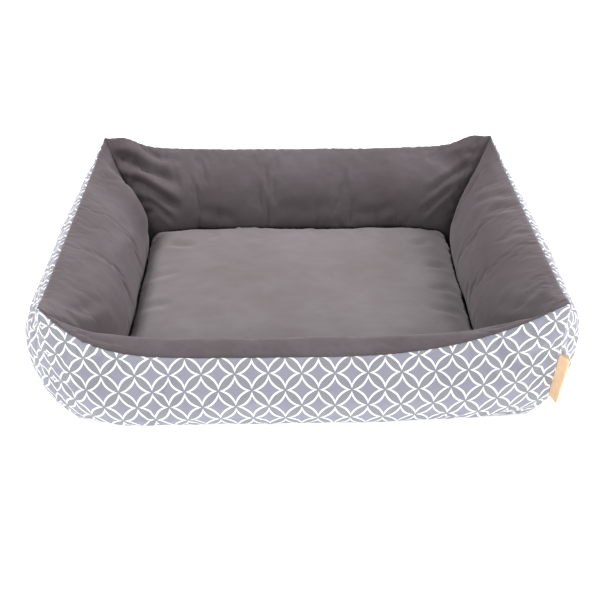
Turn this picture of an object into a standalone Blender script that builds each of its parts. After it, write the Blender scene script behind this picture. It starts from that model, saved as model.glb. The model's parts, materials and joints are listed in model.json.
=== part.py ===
"""Pet cushion bed: four stuffed walls round a nest, with a loose zipped cushion lying in it.

Frame: +Z up, +X to the bed's right, -Y to its front, origin on the floor under the middle of the bed.
Each wall is a loft: its section at mid-wall blends into the narrow section that it shares with its
neighbour at the corner. A layer of the loft lies at some depth under the finished surface, so the
covers and the filling of one wall are layers of the same loft and nest in each other.
"""

import math
from collections import namedtuple

import bmesh
import bpy
from mathutils import Matrix, Vector

# ---- Driving sizes, in metres -------------------------------------------------------------------

BED_LENGTH = 0.800  # bulge of the left wall to bulge of the right wall
BED_DEPTH = 0.620  # bulge of the front wall to bulge of the rear wall
TIP_HEIGHT = 0.205  # the four pointed corners of the rim
TIP_INSET_X = 0.050  # corner tip, in from the side walls' bulge
TIP_INSET_Y = 0.022  # corner tip, in from the front and rear walls' bulge
CLEARANCE = 0.0003  # between pieces that touch

PRINT_THICKNESS = 0.0012  # printed cotton of the outer panels
SUEDE_THICKNESS = 0.0012  # brushed suede of the inner panels and the cushion's top
BOTTOM_THICKNESS = 0.0015  # non-slip sheet under the bed
PAD_THICKNESS = 0.008
LINING_THICKNESS = 0.0012
PAD_MARGIN = 0.0012  # floor pad and lining, in from the inner panels
FOOT_TUCK = 0.020  # the inner face runs out this far under its bulge, down to its foot

CUSHION_SIDE_GAP = 0.004  # cushion's edge to the side walls' bulge
CUSHION_END_GAP = 0.017  # cushion's edge to the front and rear walls' bulge, where the zip pull turns
CUSHION_CORNER = 0.050  # corner radius in plan
EDGE_BAND = 0.012  # upright part of the cushion's edge, above and below its seam
CROWN_RISE = 0.024  # dome of the top cover above the band
UNDER_DROP = 0.016  # dome of the bottom cover below the band
COVER_THICKNESS = 0.0012
CORE_SETBACK = 0.006  # filling's edge inside the cushion's edge, which leaves a channel for the zip

ZIP_LENGTH = 0.400
COIL_HEIGHT = 0.0024
COIL_THICKNESS = 0.0022
TAPE_THICKNESS = 0.0008
TAPE_EDGE = 0.0105  # outer edge of each tape, from the middle of the zip
STOP_LENGTH = 0.0030
SLIDER_LENGTH = 0.0110
SLIDER_WIDTH = 0.0086
PLATE_THICKNESS = 0.0012
BLADE_THICKNESS = 0.0010  # the post between the slider's plates, which parts the two coils
BLADE_LENGTH = 0.0030
ARCH_LENGTH = 0.0062
ARCH_WIDTH = 0.0018
ARCH_THICKNESS = 0.0010
PULL_BAR_RADIUS = 0.0006
PULL_LENGTH = 0.0160
PULL_WIDTH = 0.0060
PULL_THICKNESS = 0.0012
PULL_ARM = 0.0012  # width of each arm of the pull's eye
SLOT_MARGIN = 0.0008  # round the slider, in the covers' slot

TAB_HEIGHT = 0.074
TAB_REACH = 0.019
TAB_LEATHER = 0.0014
TAB_FOLD_GAP = 0.0004  # between the two plies
TAB_STANDOFF = 0.0005  # back of the tab's rounded root, out from the corner seam
TAB_LOW = 0.049  # height of the tab's lower edge

ROLL_POWER = 8  # how flat the cushion's crown stays before its edge rolls over
ROLL_ROOT = 1 / 3  # how steeply the cushion's edge stands up
ARM_SHARE = 0.9  # width of a post or an arm, as a share of the plate it joins

STATIONS = 12  # loft segments along a wall
SPAN_STEPS = 2  # loft segments between two points of a section
CORNER_CELLS = 3  # of the cushion's grid, over each rounded corner
MIDDLE_CELLS = 6  # of the cushion's grid, between two corners
MITRE_LIMIT = 4.0
SEAM_CHECKS = 8  # places along the tab where its distance from the corner seam is taken
ROOT_STEPS = 4  # of each rounded half of the tab's root
FOLD_STEPS = 8  # of the tab's fold

# ---- Heights and plan sizes that follow from them ------------------------------------------------

WALL_BASE = BOTTOM_THICKNESS + CLEARANCE
PAD_TOP = WALL_BASE + PAD_THICKNESS
LINING_BASE = PAD_TOP + CLEARANCE
LINING_TOP = LINING_BASE + LINING_THICKNESS
TIP_X = BED_LENGTH / 2 - TIP_INSET_X
TIP_Y = BED_DEPTH / 2 - TIP_INSET_Y

# A wall in its own frame: +X runs along it and -Y points out of the bed. Insets count inwards from
# its outermost bulge. The rise says how sharply the section turns into the corner's, at each end.
Wall = namedtuple(
    "Wall",
    "name turn reach tip_reach half_span thickness rim_inset rim_height crest_inset crest_height "
    "shoulder_inset shoulder_height belly_height foot_inset inner_belly_height rise",
)

FRONT = Wall(
    "front", 0.0, BED_DEPTH / 2, TIP_Y, TIP_X, thickness=0.093,
    rim_inset=0.036, rim_height=0.112, crest_inset=0.063, crest_height=0.126,
    shoulder_inset=0.009, shoulder_height=0.074, belly_height=0.046, foot_inset=0.036,
    inner_belly_height=0.060, rise=(6.5, 2.8),
)
REAR = Wall(
    "rear", math.pi, BED_DEPTH / 2, TIP_Y, TIP_X, thickness=0.093,
    rim_inset=0.012, rim_height=0.178, crest_inset=0.030, crest_height=0.176,
    shoulder_inset=0.002, shoulder_height=0.140, belly_height=0.090, foot_inset=0.036,
    inner_belly_height=0.068, rise=(5.0, 5.0),
)
RIGHT = Wall(
    "right", math.pi / 2, BED_LENGTH / 2, TIP_X, TIP_Y, thickness=0.132,
    rim_inset=0.037, rim_height=0.175, crest_inset=0.058, crest_height=0.171,
    shoulder_inset=0.010, shoulder_height=0.146, belly_height=0.096, foot_inset=0.052,
    inner_belly_height=0.068, rise=(6.0, 6.0),
)
LEFT = RIGHT._replace(name="left", turn=-math.pi / 2)
WALLS = (FRONT, RIGHT, REAR, LEFT)

# Points between the named ones of a wall's section, as shares of the way across and of the height
INNER_FOOT_SHARES = (0.15, 0.60)  # of the foot's tuck, of the inner belly's height
INNER_SHOULDER_SHARES = (0.36, 0.66)  # of the way from the inner belly to the crest
OUTER_FOOT_SHARES = (0.28, 0.42)  # of the foot's inset, of the belly's height

# The corner section, in the upright plane through the corner's diagonal: (distance out from the
# tip, share of the tip's height), down the inner crease and down the outer seam.
CORNER_INNER = ((-0.018, 0.86), (-0.045, 0.60), (-0.064, 0.35), (-0.066, 0.20))
CORNER_INNER_FOOT = -0.060
CORNER_OUTER = ((-0.002, 0.78), (-0.005, 0.50), (-0.010, 0.20))
CORNER_OUTER_FOOT = -0.027

CUSHION_HALF_LENGTH = BED_LENGTH / 2 - RIGHT.thickness - CUSHION_SIDE_GAP
CUSHION_HALF_DEPTH = BED_DEPTH / 2 - FRONT.thickness - CUSHION_END_GAP
SEAM_HEIGHT = LINING_TOP + CLEARANCE + UNDER_DROP + EDGE_BAND

# Across the zip, out from the cushion's middle
COVER_INSIDE = CUSHION_HALF_DEPTH - COVER_THICKNESS
TAPE_Y = COVER_INSIDE - CLEARANCE - TAPE_THICKNESS / 2
COIL_LOW = BLADE_THICKNESS / 2 + CLEARANCE
COIL_HIGH = COIL_LOW + COIL_HEIGHT
PLATE_STANDOFF = COIL_THICKNESS / 2 + CLEARANCE
ARCH_BASE = PLATE_STANDOFF + PLATE_THICKNESS
ARCH_GAP = 2 * (PULL_BAR_RADIUS + CLEARANCE)
PIVOT_OUT = ARCH_BASE + ARCH_GAP / 2
SLOT_HALF_HEIGHT = SLIDER_WIDTH / 2 + SLOT_MARGIN
SLIDER_X = ZIP_LENGTH / 2 - SLIDER_LENGTH / 2


# ---- Scene ---------------------------------------------------------------------------------------


def clear_scene():
    for old in list(bpy.data.objects):
        bpy.data.objects.remove(old, do_unlink=True)


def new_collection(name):
    made = bpy.data.collections.new(name)
    bpy.context.scene.collection.children.link(made)
    return made


def material(name, colour, roughness, metallic=0.0):
    made = bpy.data.materials.new(name)
    made.use_nodes = True
    shader = made.node_tree.nodes["Principled BSDF"]
    shader.inputs["Base Color"].default_value = (*colour, 1.0)
    shader.inputs["Roughness"].default_value = roughness
    shader.inputs["Metallic"].default_value = metallic
    return made


clear_scene()
PARTS = new_collection("pet_cushion_bed")
CUTTERS = new_collection("cutters")

PRINT = material("printed_cotton", (0.42, 0.43, 0.49), 0.85)
SUEDE = material("grey_suede", (0.155, 0.140, 0.142), 0.90)
FIBRE = material("polyester_fibre", (0.85, 0.85, 0.83), 0.95)
NON_SLIP = material("non_slip_cloth", (0.06, 0.06, 0.065), 0.80)
FOAM = material("pad_foam", (0.75, 0.73, 0.66), 0.90)
LEATHER = material("tan_leather", (0.70, 0.47, 0.27), 0.55)
TAPE = material("zip_tape", (0.12, 0.11, 0.11), 0.85)
NYLON = material("zip_nylon", (0.10, 0.09, 0.09), 0.45)
NICKEL = material("zip_nickel", (0.62, 0.61, 0.58), 0.30, metallic=1.0)


def empty(name, location=(0, 0, 0), parent=None):
    made = bpy.data.objects.new(name, None)
    made.location = location
    made.parent = parent
    PARTS.objects.link(made)
    return made


def add_object(name, bm, look, parent=None, location=(0, 0, 0), turn=0.0):
    """An object from a bmesh, with its faces turned outwards and its flat runs shaded smooth."""
    bmesh.ops.recalc_face_normals(bm, faces=bm.faces)
    mesh = bpy.data.meshes.new(name)
    bm.to_mesh(mesh)
    bm.free()
    mesh.shade_smooth()
    mesh.set_sharp_from_angle(angle=math.radians(40))
    made = bpy.data.objects.new(name, mesh)
    made.location = location
    made.rotation_euler.z = turn
    made.parent = parent
    mesh.materials.append(look)
    PARTS.objects.link(made)
    return made


def block(low, high):
    """A box between two corners, as a bmesh."""
    bm = bmesh.new()
    bmesh.ops.create_cube(bm, size=1.0)
    size = Vector(high) - Vector(low)
    middle = (Vector(high) + Vector(low)) / 2
    bmesh.ops.transform(
        bm, verts=bm.verts, matrix=Matrix.Translation(middle) @ Matrix.Diagonal((*size, 1.0))
    )
    return bm


def rod_along_z(radius, length, segments=16):
    bm = bmesh.new()
    bmesh.ops.create_cone(
        bm, cap_ends=True, segments=segments, radius1=radius, radius2=radius, depth=length
    )
    return bm


def helper(name, bm, parent, location=(0, 0, 0)):
    """A cutter, or a shape that a union adds: it isn't a part itself."""
    made = add_object(name, bm, NICKEL, parent, location)
    PARTS.objects.unlink(made)
    CUTTERS.objects.link(made)
    made.hide_render = True
    made.display_type = "WIRE"
    return made


def combine(target, tool, operation):
    modifier = target.modifiers.new(f"{operation.lower()}_{tool.name}", "BOOLEAN")
    modifier.operation = operation
    modifier.solver = "EXACT"
    modifier.object = tool


def union_of(name, shapes, look, parent, location):
    """One solid from overlapping shapes."""
    made = add_object(name, shapes[0], look, parent, location)
    for number, shape in enumerate(shapes[1:], start=1):
        combine(made, helper(f"{name}_piece_{number}", shape, parent, location), "UNION")
    return made


# ---- Sections of a wall --------------------------------------------------------------------------


def smooth_through(points):
    """A smooth curve through points, with SPAN_STEPS steps between two of them."""
    curve = []
    last = len(points) - 1
    for i in range(last):
        before, start = points[max(i - 1, 0)], points[i]
        end, after = points[i + 1], points[min(i + 2, last)]
        span = (end - start).length
        leave = (end - before) * (span / max((end - before).length, 1e-9))
        arrive = (after - start) * (span / max((after - start).length, 1e-9))
        for step in range(SPAN_STEPS):
            t = step / SPAN_STEPS
            curve.append(
                start * (2 * t**3 - 3 * t**2 + 1)
                + leave * (t**3 - 2 * t**2 + t)
                + end * (3 * t**2 - 2 * t**3)
                + arrive * (t**3 - t**2)
            )
    return curve + [points[-1]]


def middle_outline(wall):
    """The wall's section at its middle, from its inner foot over the rim to its outer foot.
    Points are (distance out from the bed's middle, height)."""
    reach, nest = wall.reach, wall.reach - wall.thickness
    crest = Vector((reach - wall.crest_inset, wall.crest_height))
    rim = Vector((reach - wall.rim_inset, wall.rim_height))
    belly = Vector((nest, wall.inner_belly_height))
    inner_shoulder = belly + (crest - belly) * Vector(INNER_SHOULDER_SHARES)
    inner = [
        Vector((nest + FOOT_TUCK, WALL_BASE)),
        Vector((nest + INNER_FOOT_SHARES[0] * FOOT_TUCK, INNER_FOOT_SHARES[1] * belly.y)),
        belly,
        inner_shoulder,
        crest,
        rim,
    ]
    outer = [
        rim,
        Vector((reach - wall.shoulder_inset, wall.shoulder_height)),
        Vector((reach, wall.belly_height)),
        Vector(
            (reach - OUTER_FOOT_SHARES[0] * wall.foot_inset, OUTER_FOOT_SHARES[1] * wall.belly_height)
        ),
        Vector((reach - wall.foot_inset, WALL_BASE)),
    ]
    return smooth_through(inner), smooth_through(outer)


def corner_outline():
    """The section at a corner, like middle_outline, but out from the corner's tip."""
    tip = Vector((0.0, TIP_HEIGHT))
    inner = [Vector((CORNER_INNER_FOOT, WALL_BASE))]
    inner += [Vector((out, share * TIP_HEIGHT)) for out, share in reversed(CORNER_INNER)]
    outer = [Vector((out, share * TIP_HEIGHT)) for out, share in CORNER_OUTER]
    outer += [Vector((CORNER_OUTER_FOOT, WALL_BASE))]
    return smooth_through(inner + [tip]), smooth_through([tip] + outer)


def inset(points, depth):
    """The outline moved inwards by depth. Its two feet keep their height."""
    moved = []
    for i, point in enumerate(points):
        if i == 0:
            moved.append(point + Vector((depth, 0)))
        elif i == len(points) - 1:
            moved.append(point - Vector((depth, 0)))
        else:
            before = (point - points[i - 1]).normalized()
            after = (points[i + 1] - point).normalized()
            inward = Vector((before.y + after.y, -before.x - after.x)).normalized()
            mitre = 1 / max(inward.dot(Vector((before.y, -before.x))), 1 / MITRE_LIMIT)
            moved.append(point + inward * depth * mitre)
    return moved


def wall_layer(wall, depth):
    """The wall's surface at that depth, as a list of sections: points in the wall's own frame."""
    inner, outer = middle_outline(wall)
    rim_at = len(inner) - 1
    middle = inset(inner + outer[1:], depth)
    corner_inner, corner_outer = corner_outline()
    corner = inset(corner_inner + corner_outer[1:], depth)
    end = 1 - CLEARANCE / wall.half_span
    layer = []
    for station in range(STATIONS + 1):
        along = end * math.sin(math.pi / 2 * (2 * station / STATIONS - 1))
        turn_in = abs(along) ** wall.rise[along > 0]
        section = []
        for mid, tip in zip(middle, corner):
            out = mid.x + (wall.tip_reach + tip.x - mid.x) * turn_in
            height = mid.y + (tip.y - mid.y) * turn_in
            section.append(Vector((along * (wall.half_span + tip.x), -out, height)))
        layer.append(section)
    return layer, rim_at


# ---- Meshes from sections ------------------------------------------------------------------------


def add_grid(bm, sections, closed=False):
    """Quads between neighbouring sections. Returns the rows of vertices."""
    rows = [[bm.verts.new(point) for point in section] for section in sections]
    for near, far in zip(rows, rows[1:]):
        for i in range(0 if closed else 1, len(near)):
            bm.faces.new((near[i - 1], near[i], far[i], far[i - 1]))
    return rows


def outline_of(rows):
    """The vertices round a grid's border, in order."""
    right = [row[-1] for row in rows[1:-1]]
    left = [row[0] for row in rows[1:-1]]
    return rows[0] + right + rows[-1][::-1] + left[::-1]


def sheet_between(surface, under):
    """A closed sheet whose two faces are the two grids."""
    bm = bmesh.new()
    top, low = outline_of(add_grid(bm, surface)), outline_of(add_grid(bm, under))
    for i in range(len(top)):
        bm.faces.new((top[i - 1], top[i], low[i], low[i - 1]))
    return bm


def solid_through(sections):
    """A closed solid through ring-shaped sections, with a flat end at each side."""
    bm = bmesh.new()
    rows = add_grid(bm, sections, closed=True)
    bm.faces.new(rows[0])
    bm.faces.new(rows[-1])
    return bm


def held_back(section, at_start):
    """The section with its rim end drawn back a little, so that two panels don't touch there."""
    points = section if at_start else section[::-1]
    step = (points[1] - points[0]).normalized() * CLEARANCE
    points = [points[0] + step] + points[1:]
    return points if at_start else points[::-1]


# ---- The four walls ------------------------------------------------------------------------------


def build_wall(wall, parent):
    """The printed outer panel, the suede inner panel and the filling of one wall."""
    surface, rim_at = wall_layer(wall, 0.0)
    print_back, _ = wall_layer(wall, PRINT_THICKNESS)
    suede_back, _ = wall_layer(wall, SUEDE_THICKNESS)
    core, _ = wall_layer(wall, max(PRINT_THICKNESS, SUEDE_THICKNESS) + 2 * CLEARANCE)

    def outer(layer):
        return [held_back(section[rim_at:], at_start=True) for section in layer]

    def inner(layer):
        return [held_back(section[: rim_at + 1], at_start=False) for section in layer]

    add_object(
        f"{wall.name}_outer_panel", sheet_between(outer(surface), outer(print_back)), PRINT, parent,
        turn=wall.turn,
    )
    add_object(
        f"{wall.name}_inner_panel", sheet_between(inner(surface), inner(suede_back)), SUEDE, parent,
        turn=wall.turn,
    )
    add_object(f"{wall.name}_filling", solid_through(core), FIBRE, parent, turn=wall.turn)


# ---- The floor of the bed ------------------------------------------------------------------------


def crossing(section, height):
    """Where a section, listed from its foot upwards, first reaches a height."""
    for low, high in zip(section, section[1:]):
        if high.z >= height:
            return low.lerp(high, (height - low.z) / (high.z - low.z))
    raise ValueError("the section is lower than that")


def wall_line(height, from_outside, margin=0.0):
    """The line along the faces of all four walls at a height, in plan, drawn in by a margin."""
    line = []
    for wall in WALLS:
        layer, rim_at = wall_layer(wall, 0.0)
        sides = [section[:rim_at:-1] if from_outside else section[:rim_at] for section in layer]
        points = [crossing(side, height) for side in sides]
        limit = abs(points[0].x) - margin
        for point in points:
            along = max(-limit, min(limit, point.x))
            line.append(Matrix.Rotation(wall.turn, 2) @ Vector((along, point.y + margin)))
    return line


def flat_sheet(name, line, base, thickness, look, parent):
    """A flat sheet of that outline, standing on the height base."""
    bm = bmesh.new()
    bm.faces.new([bm.verts.new((point.x, point.y, 0.0)) for point in line])
    bmesh.ops.remove_doubles(bm, verts=bm.verts, dist=2 * CLEARANCE)
    made = add_object(name, bm, look, parent, location=(0, 0, base))
    modifier = made.modifiers.new("thickness", "SOLIDIFY")
    modifier.thickness = thickness
    modifier.offset = 1.0 if made.data.polygons[0].normal.z > 0 else -1.0
    return made


def build_floor(parent):
    underside = wall_line(WALL_BASE, from_outside=True)
    nest = wall_line(LINING_TOP, from_outside=False, margin=PAD_MARGIN)
    flat_sheet("bottom_panel", underside, 0.0, BOTTOM_THICKNESS, NON_SLIP, parent)
    flat_sheet("floor_pad", nest, WALL_BASE, PAD_THICKNESS, FOAM, parent)
    flat_sheet("floor_lining", nest, LINING_BASE, LINING_THICKNESS, SUEDE, parent)


# ---- The cushion ---------------------------------------------------------------------------------


def cushion_point(across, back, half_length, half_depth, band, dome):
    """A point of the cushion's top, for across and back from -1 to 1 at its edges. Its corners are
    rounded in plan, and its edge rolls over into a flat crown."""
    x, y = across * half_length, back * half_depth
    straight_x, straight_y = half_length - CUSHION_CORNER, half_depth - CUSHION_CORNER
    if abs(x) > straight_x and abs(y) > straight_y:
        p = (abs(x) - straight_x) / CUSHION_CORNER
        q = (abs(y) - straight_y) / CUSHION_CORNER
        x = math.copysign(straight_x + CUSHION_CORNER * p * math.sqrt(1 - q * q / 2), x)
        y = math.copysign(straight_y + CUSHION_CORNER * q * math.sqrt(1 - p * p / 2), y)
    roll = (1 - abs(across) ** ROLL_POWER) * (1 - abs(back) ** ROLL_POWER)
    return Vector((x, y, band + dome * max(roll, 0.0) ** ROLL_ROOT))


def grid_places(half_size):
    """Where the cushion's grid lines lie, from -1 to 1: closer together over its rounded corners."""
    straight = (half_size - CUSHION_CORNER) / half_size
    corner = [math.sin(math.pi / 2 * i / CORNER_CELLS) for i in range(1, CORNER_CELLS + 1)]
    corner = [straight + (1 - straight) * step for step in corner]
    middle = [straight * (2 * i / MIDDLE_CELLS - 1) for i in range(MIDDLE_CELLS + 1)]
    return [-place for place in reversed(corner)] + middle + corner


def cushion_face(bm, half_length, half_depth, band, dome):
    """The domed top of a cushion, as a grid of quads. Returns its border edges."""
    rows = [
        [
            bm.verts.new(cushion_point(across, back, half_length, half_depth, band, dome))
            for across in grid_places(half_length)
        ]
        for back in grid_places(half_depth)
    ]
    faces = [
        bm.faces.new((near[i - 1], near[i], far[i], far[i - 1]))
        for near, far in zip(rows, rows[1:])
        for i in range(1, len(near))
    ]
    return [edge for face in faces for edge in face.edges if edge.is_boundary]


def cushion_cover(name, up, dome, look, parent, slot):
    """One cover of the cushion: an open dome with a skirt down to the seam, cut for the zip."""
    bm = bmesh.new()
    border = cushion_face(bm, CUSHION_HALF_LENGTH, CUSHION_HALF_DEPTH, EDGE_BAND, dome)
    skirt = bmesh.ops.extrude_edge_only(bm, edges=border)["geom"]
    for vert in [item for item in skirt if isinstance(item, bmesh.types.BMVert)]:
        vert.co.z = CLEARANCE / 2
    if not up:
        bmesh.ops.scale(bm, vec=(1, 1, -1), verts=bm.verts)
    made = add_object(name, bm, look, parent)
    modifier = made.modifiers.new("thickness", "SOLIDIFY")
    modifier.thickness = COVER_THICKNESS
    top_normal = max(made.data.polygons, key=lambda face: abs(face.center.z)).normal
    modifier.offset = -1.0 if (top_normal.z > 0) == up else 1.0
    modifier.use_even_offset = True
    combine(made, slot, "DIFFERENCE")
    return made


def cushion_core(parent):
    """The cushion's filling, clear of the covers and of the zip's channel."""
    gap = COVER_THICKNESS + 2 * CLEARANCE
    half_length = CUSHION_HALF_LENGTH - CORE_SETBACK
    half_depth = CUSHION_HALF_DEPTH - CORE_SETBACK
    bm = bmesh.new()
    border = cushion_face(bm, half_length, half_depth, EDGE_BAND - gap, CROWN_RISE)
    top = set(bm.verts)
    border += cushion_face(bm, half_length, half_depth, EDGE_BAND - gap, UNDER_DROP)
    for vert in bm.verts:
        if vert not in top:
            vert.co.z = -vert.co.z
    bmesh.ops.bridge_loops(bm, edges=border)
    return add_object("cushion_filling", bm, FIBRE, parent)


def build_cushion(parent):
    half_slot = ZIP_LENGTH / 2 + STOP_LENGTH + SLOT_MARGIN
    slot = helper(
        "zip_slot",
        block(
            (-half_slot, CUSHION_HALF_DEPTH - 4 * COVER_THICKNESS, -SLOT_HALF_HEIGHT),
            (half_slot, CUSHION_HALF_DEPTH + 4 * COVER_THICKNESS, SLOT_HALF_HEIGHT),
        ),
        parent,
    )
    cushion_cover("cushion_top_cover", True, CROWN_RISE, SUEDE, parent, slot)
    cushion_cover("cushion_bottom_cover", False, UNDER_DROP, PRINT, parent, slot)
    cushion_core(parent)


# ---- The zip in the cushion's rear seam ----------------------------------------------------------


def build_zip(cushion):
    """Two tapes with their coils, a stop at each end, the slider, and the pull that swings on it.
    The coils leave a gap in which the slider's blade runs."""
    half = ZIP_LENGTH / 2
    for name, side in (("upper", 1), ("lower", -1)):
        coil = sorted((side * COIL_LOW, side * COIL_HIGH))
        tape = sorted((side * (COIL_HIGH + CLEARANCE), side * TAPE_EDGE))
        add_object(
            f"zip_coil_{name}",
            block((-half, -COIL_THICKNESS / 2, coil[0]), (half, COIL_THICKNESS / 2, coil[1])),
            NYLON, cushion, location=(0, TAPE_Y, 0),
        )
        end = half + STOP_LENGTH
        add_object(
            f"zip_tape_{name}",
            block((-end, -TAPE_THICKNESS / 2, tape[0]), (end, TAPE_THICKNESS / 2, tape[1])),
            TAPE, cushion, location=(0, TAPE_Y, 0),
        )
    for name, side in (("left", -1), ("right", 1)):
        ends = sorted((side * (half + CLEARANCE), side * (half + STOP_LENGTH)))
        add_object(
            f"zip_stop_{name}",
            block((ends[0], -COIL_THICKNESS / 2, -COIL_HIGH), (ends[1], COIL_THICKNESS / 2, COIL_HIGH)),
            NICKEL, cushion, location=(0, TAPE_Y, 0),
        )

    half_width, half_arch = SLIDER_WIDTH / 2, ARCH_WIDTH / 2
    arch_top = ARCH_BASE + ARCH_GAP
    sunk = PLATE_THICKNESS / 2  # how far the joined shapes run into each other
    shapes = [
        block((-SLIDER_LENGTH / 2, PLATE_STANDOFF, -half_width), (SLIDER_LENGTH / 2, ARCH_BASE, half_width)),
        block((-SLIDER_LENGTH / 2, -ARCH_BASE, -half_width), (SLIDER_LENGTH / 2, -PLATE_STANDOFF, half_width)),
        block(
            (-BLADE_LENGTH / 2, -PLATE_STANDOFF - sunk, -BLADE_THICKNESS / 2),
            (BLADE_LENGTH / 2, PLATE_STANDOFF + sunk, BLADE_THICKNESS / 2),
        ),
        block((-ARCH_LENGTH / 2, arch_top, -half_arch), (ARCH_LENGTH / 2, arch_top + ARCH_THICKNESS, half_arch)),
    ]
    for side in (-1, 1):
        post = sorted((side * ARCH_LENGTH / 2, side * (ARCH_LENGTH / 2 - ARCH_THICKNESS)))
        across = half_arch * ARM_SHARE
        shapes.append(block((post[0], ARCH_BASE - sunk, -across), (post[1], arch_top + sunk, across)))
    slider = union_of("zip_slider", shapes, NICKEL, cushion, (SLIDER_X, TAPE_Y, 0))

    eye = ARCH_LENGTH / 2 + 2 * CLEARANCE
    arm_in = half_arch + CLEARANCE
    arm_out = arm_in + PULL_ARM
    half_pull = PULL_THICKNESS / 2
    half_arm = half_pull * ARM_SHARE
    shapes = [rod_along_z(PULL_BAR_RADIUS, 2 * arm_out - CLEARANCE)]
    for side in (-1, 1):
        arm = sorted((side * arm_in, side * arm_out))
        shapes.append(block((-eye - sunk, -half_arm, arm[0]), (0.0, half_arm, arm[1])))
    shapes.append(block((-PULL_LENGTH, -half_pull, -PULL_WIDTH / 2), (-eye, half_pull, PULL_WIDTH / 2)))
    union_of("zip_pull", shapes, NICKEL, slider, (0, PIVOT_OUT, 0))


# ---- The leather tab in the front right corner seam ----------------------------------------------


def corner_seam_at(height):
    """How far the outer corner seam stands out from the corner's tip, at a height."""
    _, outer = corner_outline()
    for above, below in zip(outer, outer[1:]):
        if below.y <= height <= above.y:
            share = (above.y - height) / (above.y - below.y)
            return above.x + (below.x - above.x) * share
    raise ValueError("the tab is taller than the corner seam")


def arc_point(centre, radius, angle):
    return centre + radius * math.cos(angle), radius * math.sin(angle)


def build_tab(parent):
    """A leather strip folded in two. It turns about its root, a line along the corner seam."""
    low, high = TAB_LOW, TAB_LOW + TAB_HEIGHT
    foot, head = corner_seam_at(low), corner_seam_at(high)
    checks = [low + TAB_HEIGHT * i / SEAM_CHECKS for i in range(SEAM_CHECKS + 1)]
    bulge = max(
        corner_seam_at(h) - (foot + (head - foot) * (h - low) / TAB_HEIGHT) for h in checks
    )
    ply = TAB_LEATHER + TAB_FOLD_GAP / 2
    inside = TAB_FOLD_GAP / 2
    out = (foot + head) / 2 + bulge + (ply + TAB_STANDOFF) / math.sqrt(2)
    pivot = empty("tab_root", (TIP_X + out, -TIP_Y - out, (low + high) / 2), parent)
    lean = math.atan2((head - foot) * math.sqrt(2), TAB_HEIGHT)
    pivot.rotation_euler = (0.0, lean, -math.pi / 4)

    bend = TAB_REACH - 2 * ply
    root_end = math.pi - math.asin(inside / ply)
    round_root = [root_end + (math.pi / 2 - root_end) * i / ROOT_STEPS for i in range(ROOT_STEPS + 1)]
    round_fold = [math.pi / 2 - math.pi * i / FOLD_STEPS for i in range(FOLD_STEPS + 1)]
    root = [arc_point(0.0, ply, angle) for angle in round_root]
    fold = [arc_point(bend, ply, angle) for angle in round_fold]
    fold_in = [arc_point(bend, inside, -angle) for angle in round_fold]
    outline = root + fold + [(x, -y) for x, y in reversed(root)] + fold_in
    curve = bpy.data.curves.new("leather_tab", "CURVE")
    curve.dimensions = "2D"
    curve.fill_mode = "BOTH"
    curve.extrude = TAB_HEIGHT / 2
    spline = curve.splines.new("POLY")
    spline.points.add(len(outline) - 1)
    for point, (x, y) in zip(spline.points, outline):
        point.co = (x, y, 0.0, 1.0)
    spline.use_cyclic_u = True
    curve.materials.append(LEATHER)
    tab = bpy.data.objects.new("leather_tab", curve)
    tab.parent = pivot
    PARTS.objects.link(tab)


# ---- The bed -------------------------------------------------------------------------------------


def build_bed():
    bed = empty("bed")
    for wall in WALLS:
        build_wall(wall, bed)
    build_floor(bed)
    build_tab(bed)
    cushion = empty("cushion", (0, 0, SEAM_HEIGHT), bed)
    build_cushion(cushion)
    build_zip(cushion)


build_bed()
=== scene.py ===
import json
import math

import bpy
import numpy as np
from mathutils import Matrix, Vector, noise


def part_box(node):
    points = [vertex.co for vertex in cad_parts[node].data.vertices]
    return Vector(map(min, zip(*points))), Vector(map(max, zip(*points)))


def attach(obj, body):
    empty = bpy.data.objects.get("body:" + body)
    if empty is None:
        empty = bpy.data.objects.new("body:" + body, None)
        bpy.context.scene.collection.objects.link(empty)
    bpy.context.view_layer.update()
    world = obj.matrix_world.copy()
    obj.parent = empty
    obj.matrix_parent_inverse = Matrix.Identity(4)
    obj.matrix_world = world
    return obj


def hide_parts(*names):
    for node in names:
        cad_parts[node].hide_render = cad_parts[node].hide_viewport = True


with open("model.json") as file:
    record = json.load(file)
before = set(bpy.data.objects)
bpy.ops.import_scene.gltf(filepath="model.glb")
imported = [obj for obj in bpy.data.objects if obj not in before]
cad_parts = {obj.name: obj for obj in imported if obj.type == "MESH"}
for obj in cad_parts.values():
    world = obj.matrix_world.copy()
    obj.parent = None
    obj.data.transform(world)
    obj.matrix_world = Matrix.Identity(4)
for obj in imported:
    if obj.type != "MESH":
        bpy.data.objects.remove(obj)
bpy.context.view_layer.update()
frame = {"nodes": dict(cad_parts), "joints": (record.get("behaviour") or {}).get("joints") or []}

FRONT_REACH = -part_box("front_outer_panel")[0].y
FRONT_TIP = -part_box("front_inner_panel")[0].y
FRONT_HALF = 0.350
SIDE_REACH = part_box("right_outer_panel")[1].x
SIDE_TIP = 0.350
SIDE_HALF = 0.288
TIP_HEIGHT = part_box("rear_inner_panel")[1].z
WALL_BASE = 0.0018
INNER_CORNER = [(-0.060, WALL_BASE), (-0.066, 0.20), (-0.064, 0.35), (-0.045, 0.60), (-0.018, 0.86)]
OUTER_CORNER = [(-0.002, 0.78), (-0.005, 0.50), (-0.010, 0.20), (-0.027, WALL_BASE)]
ALONG_CELLS = 120
INNER_CELLS = 28
OUTER_CELLS = 22

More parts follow.
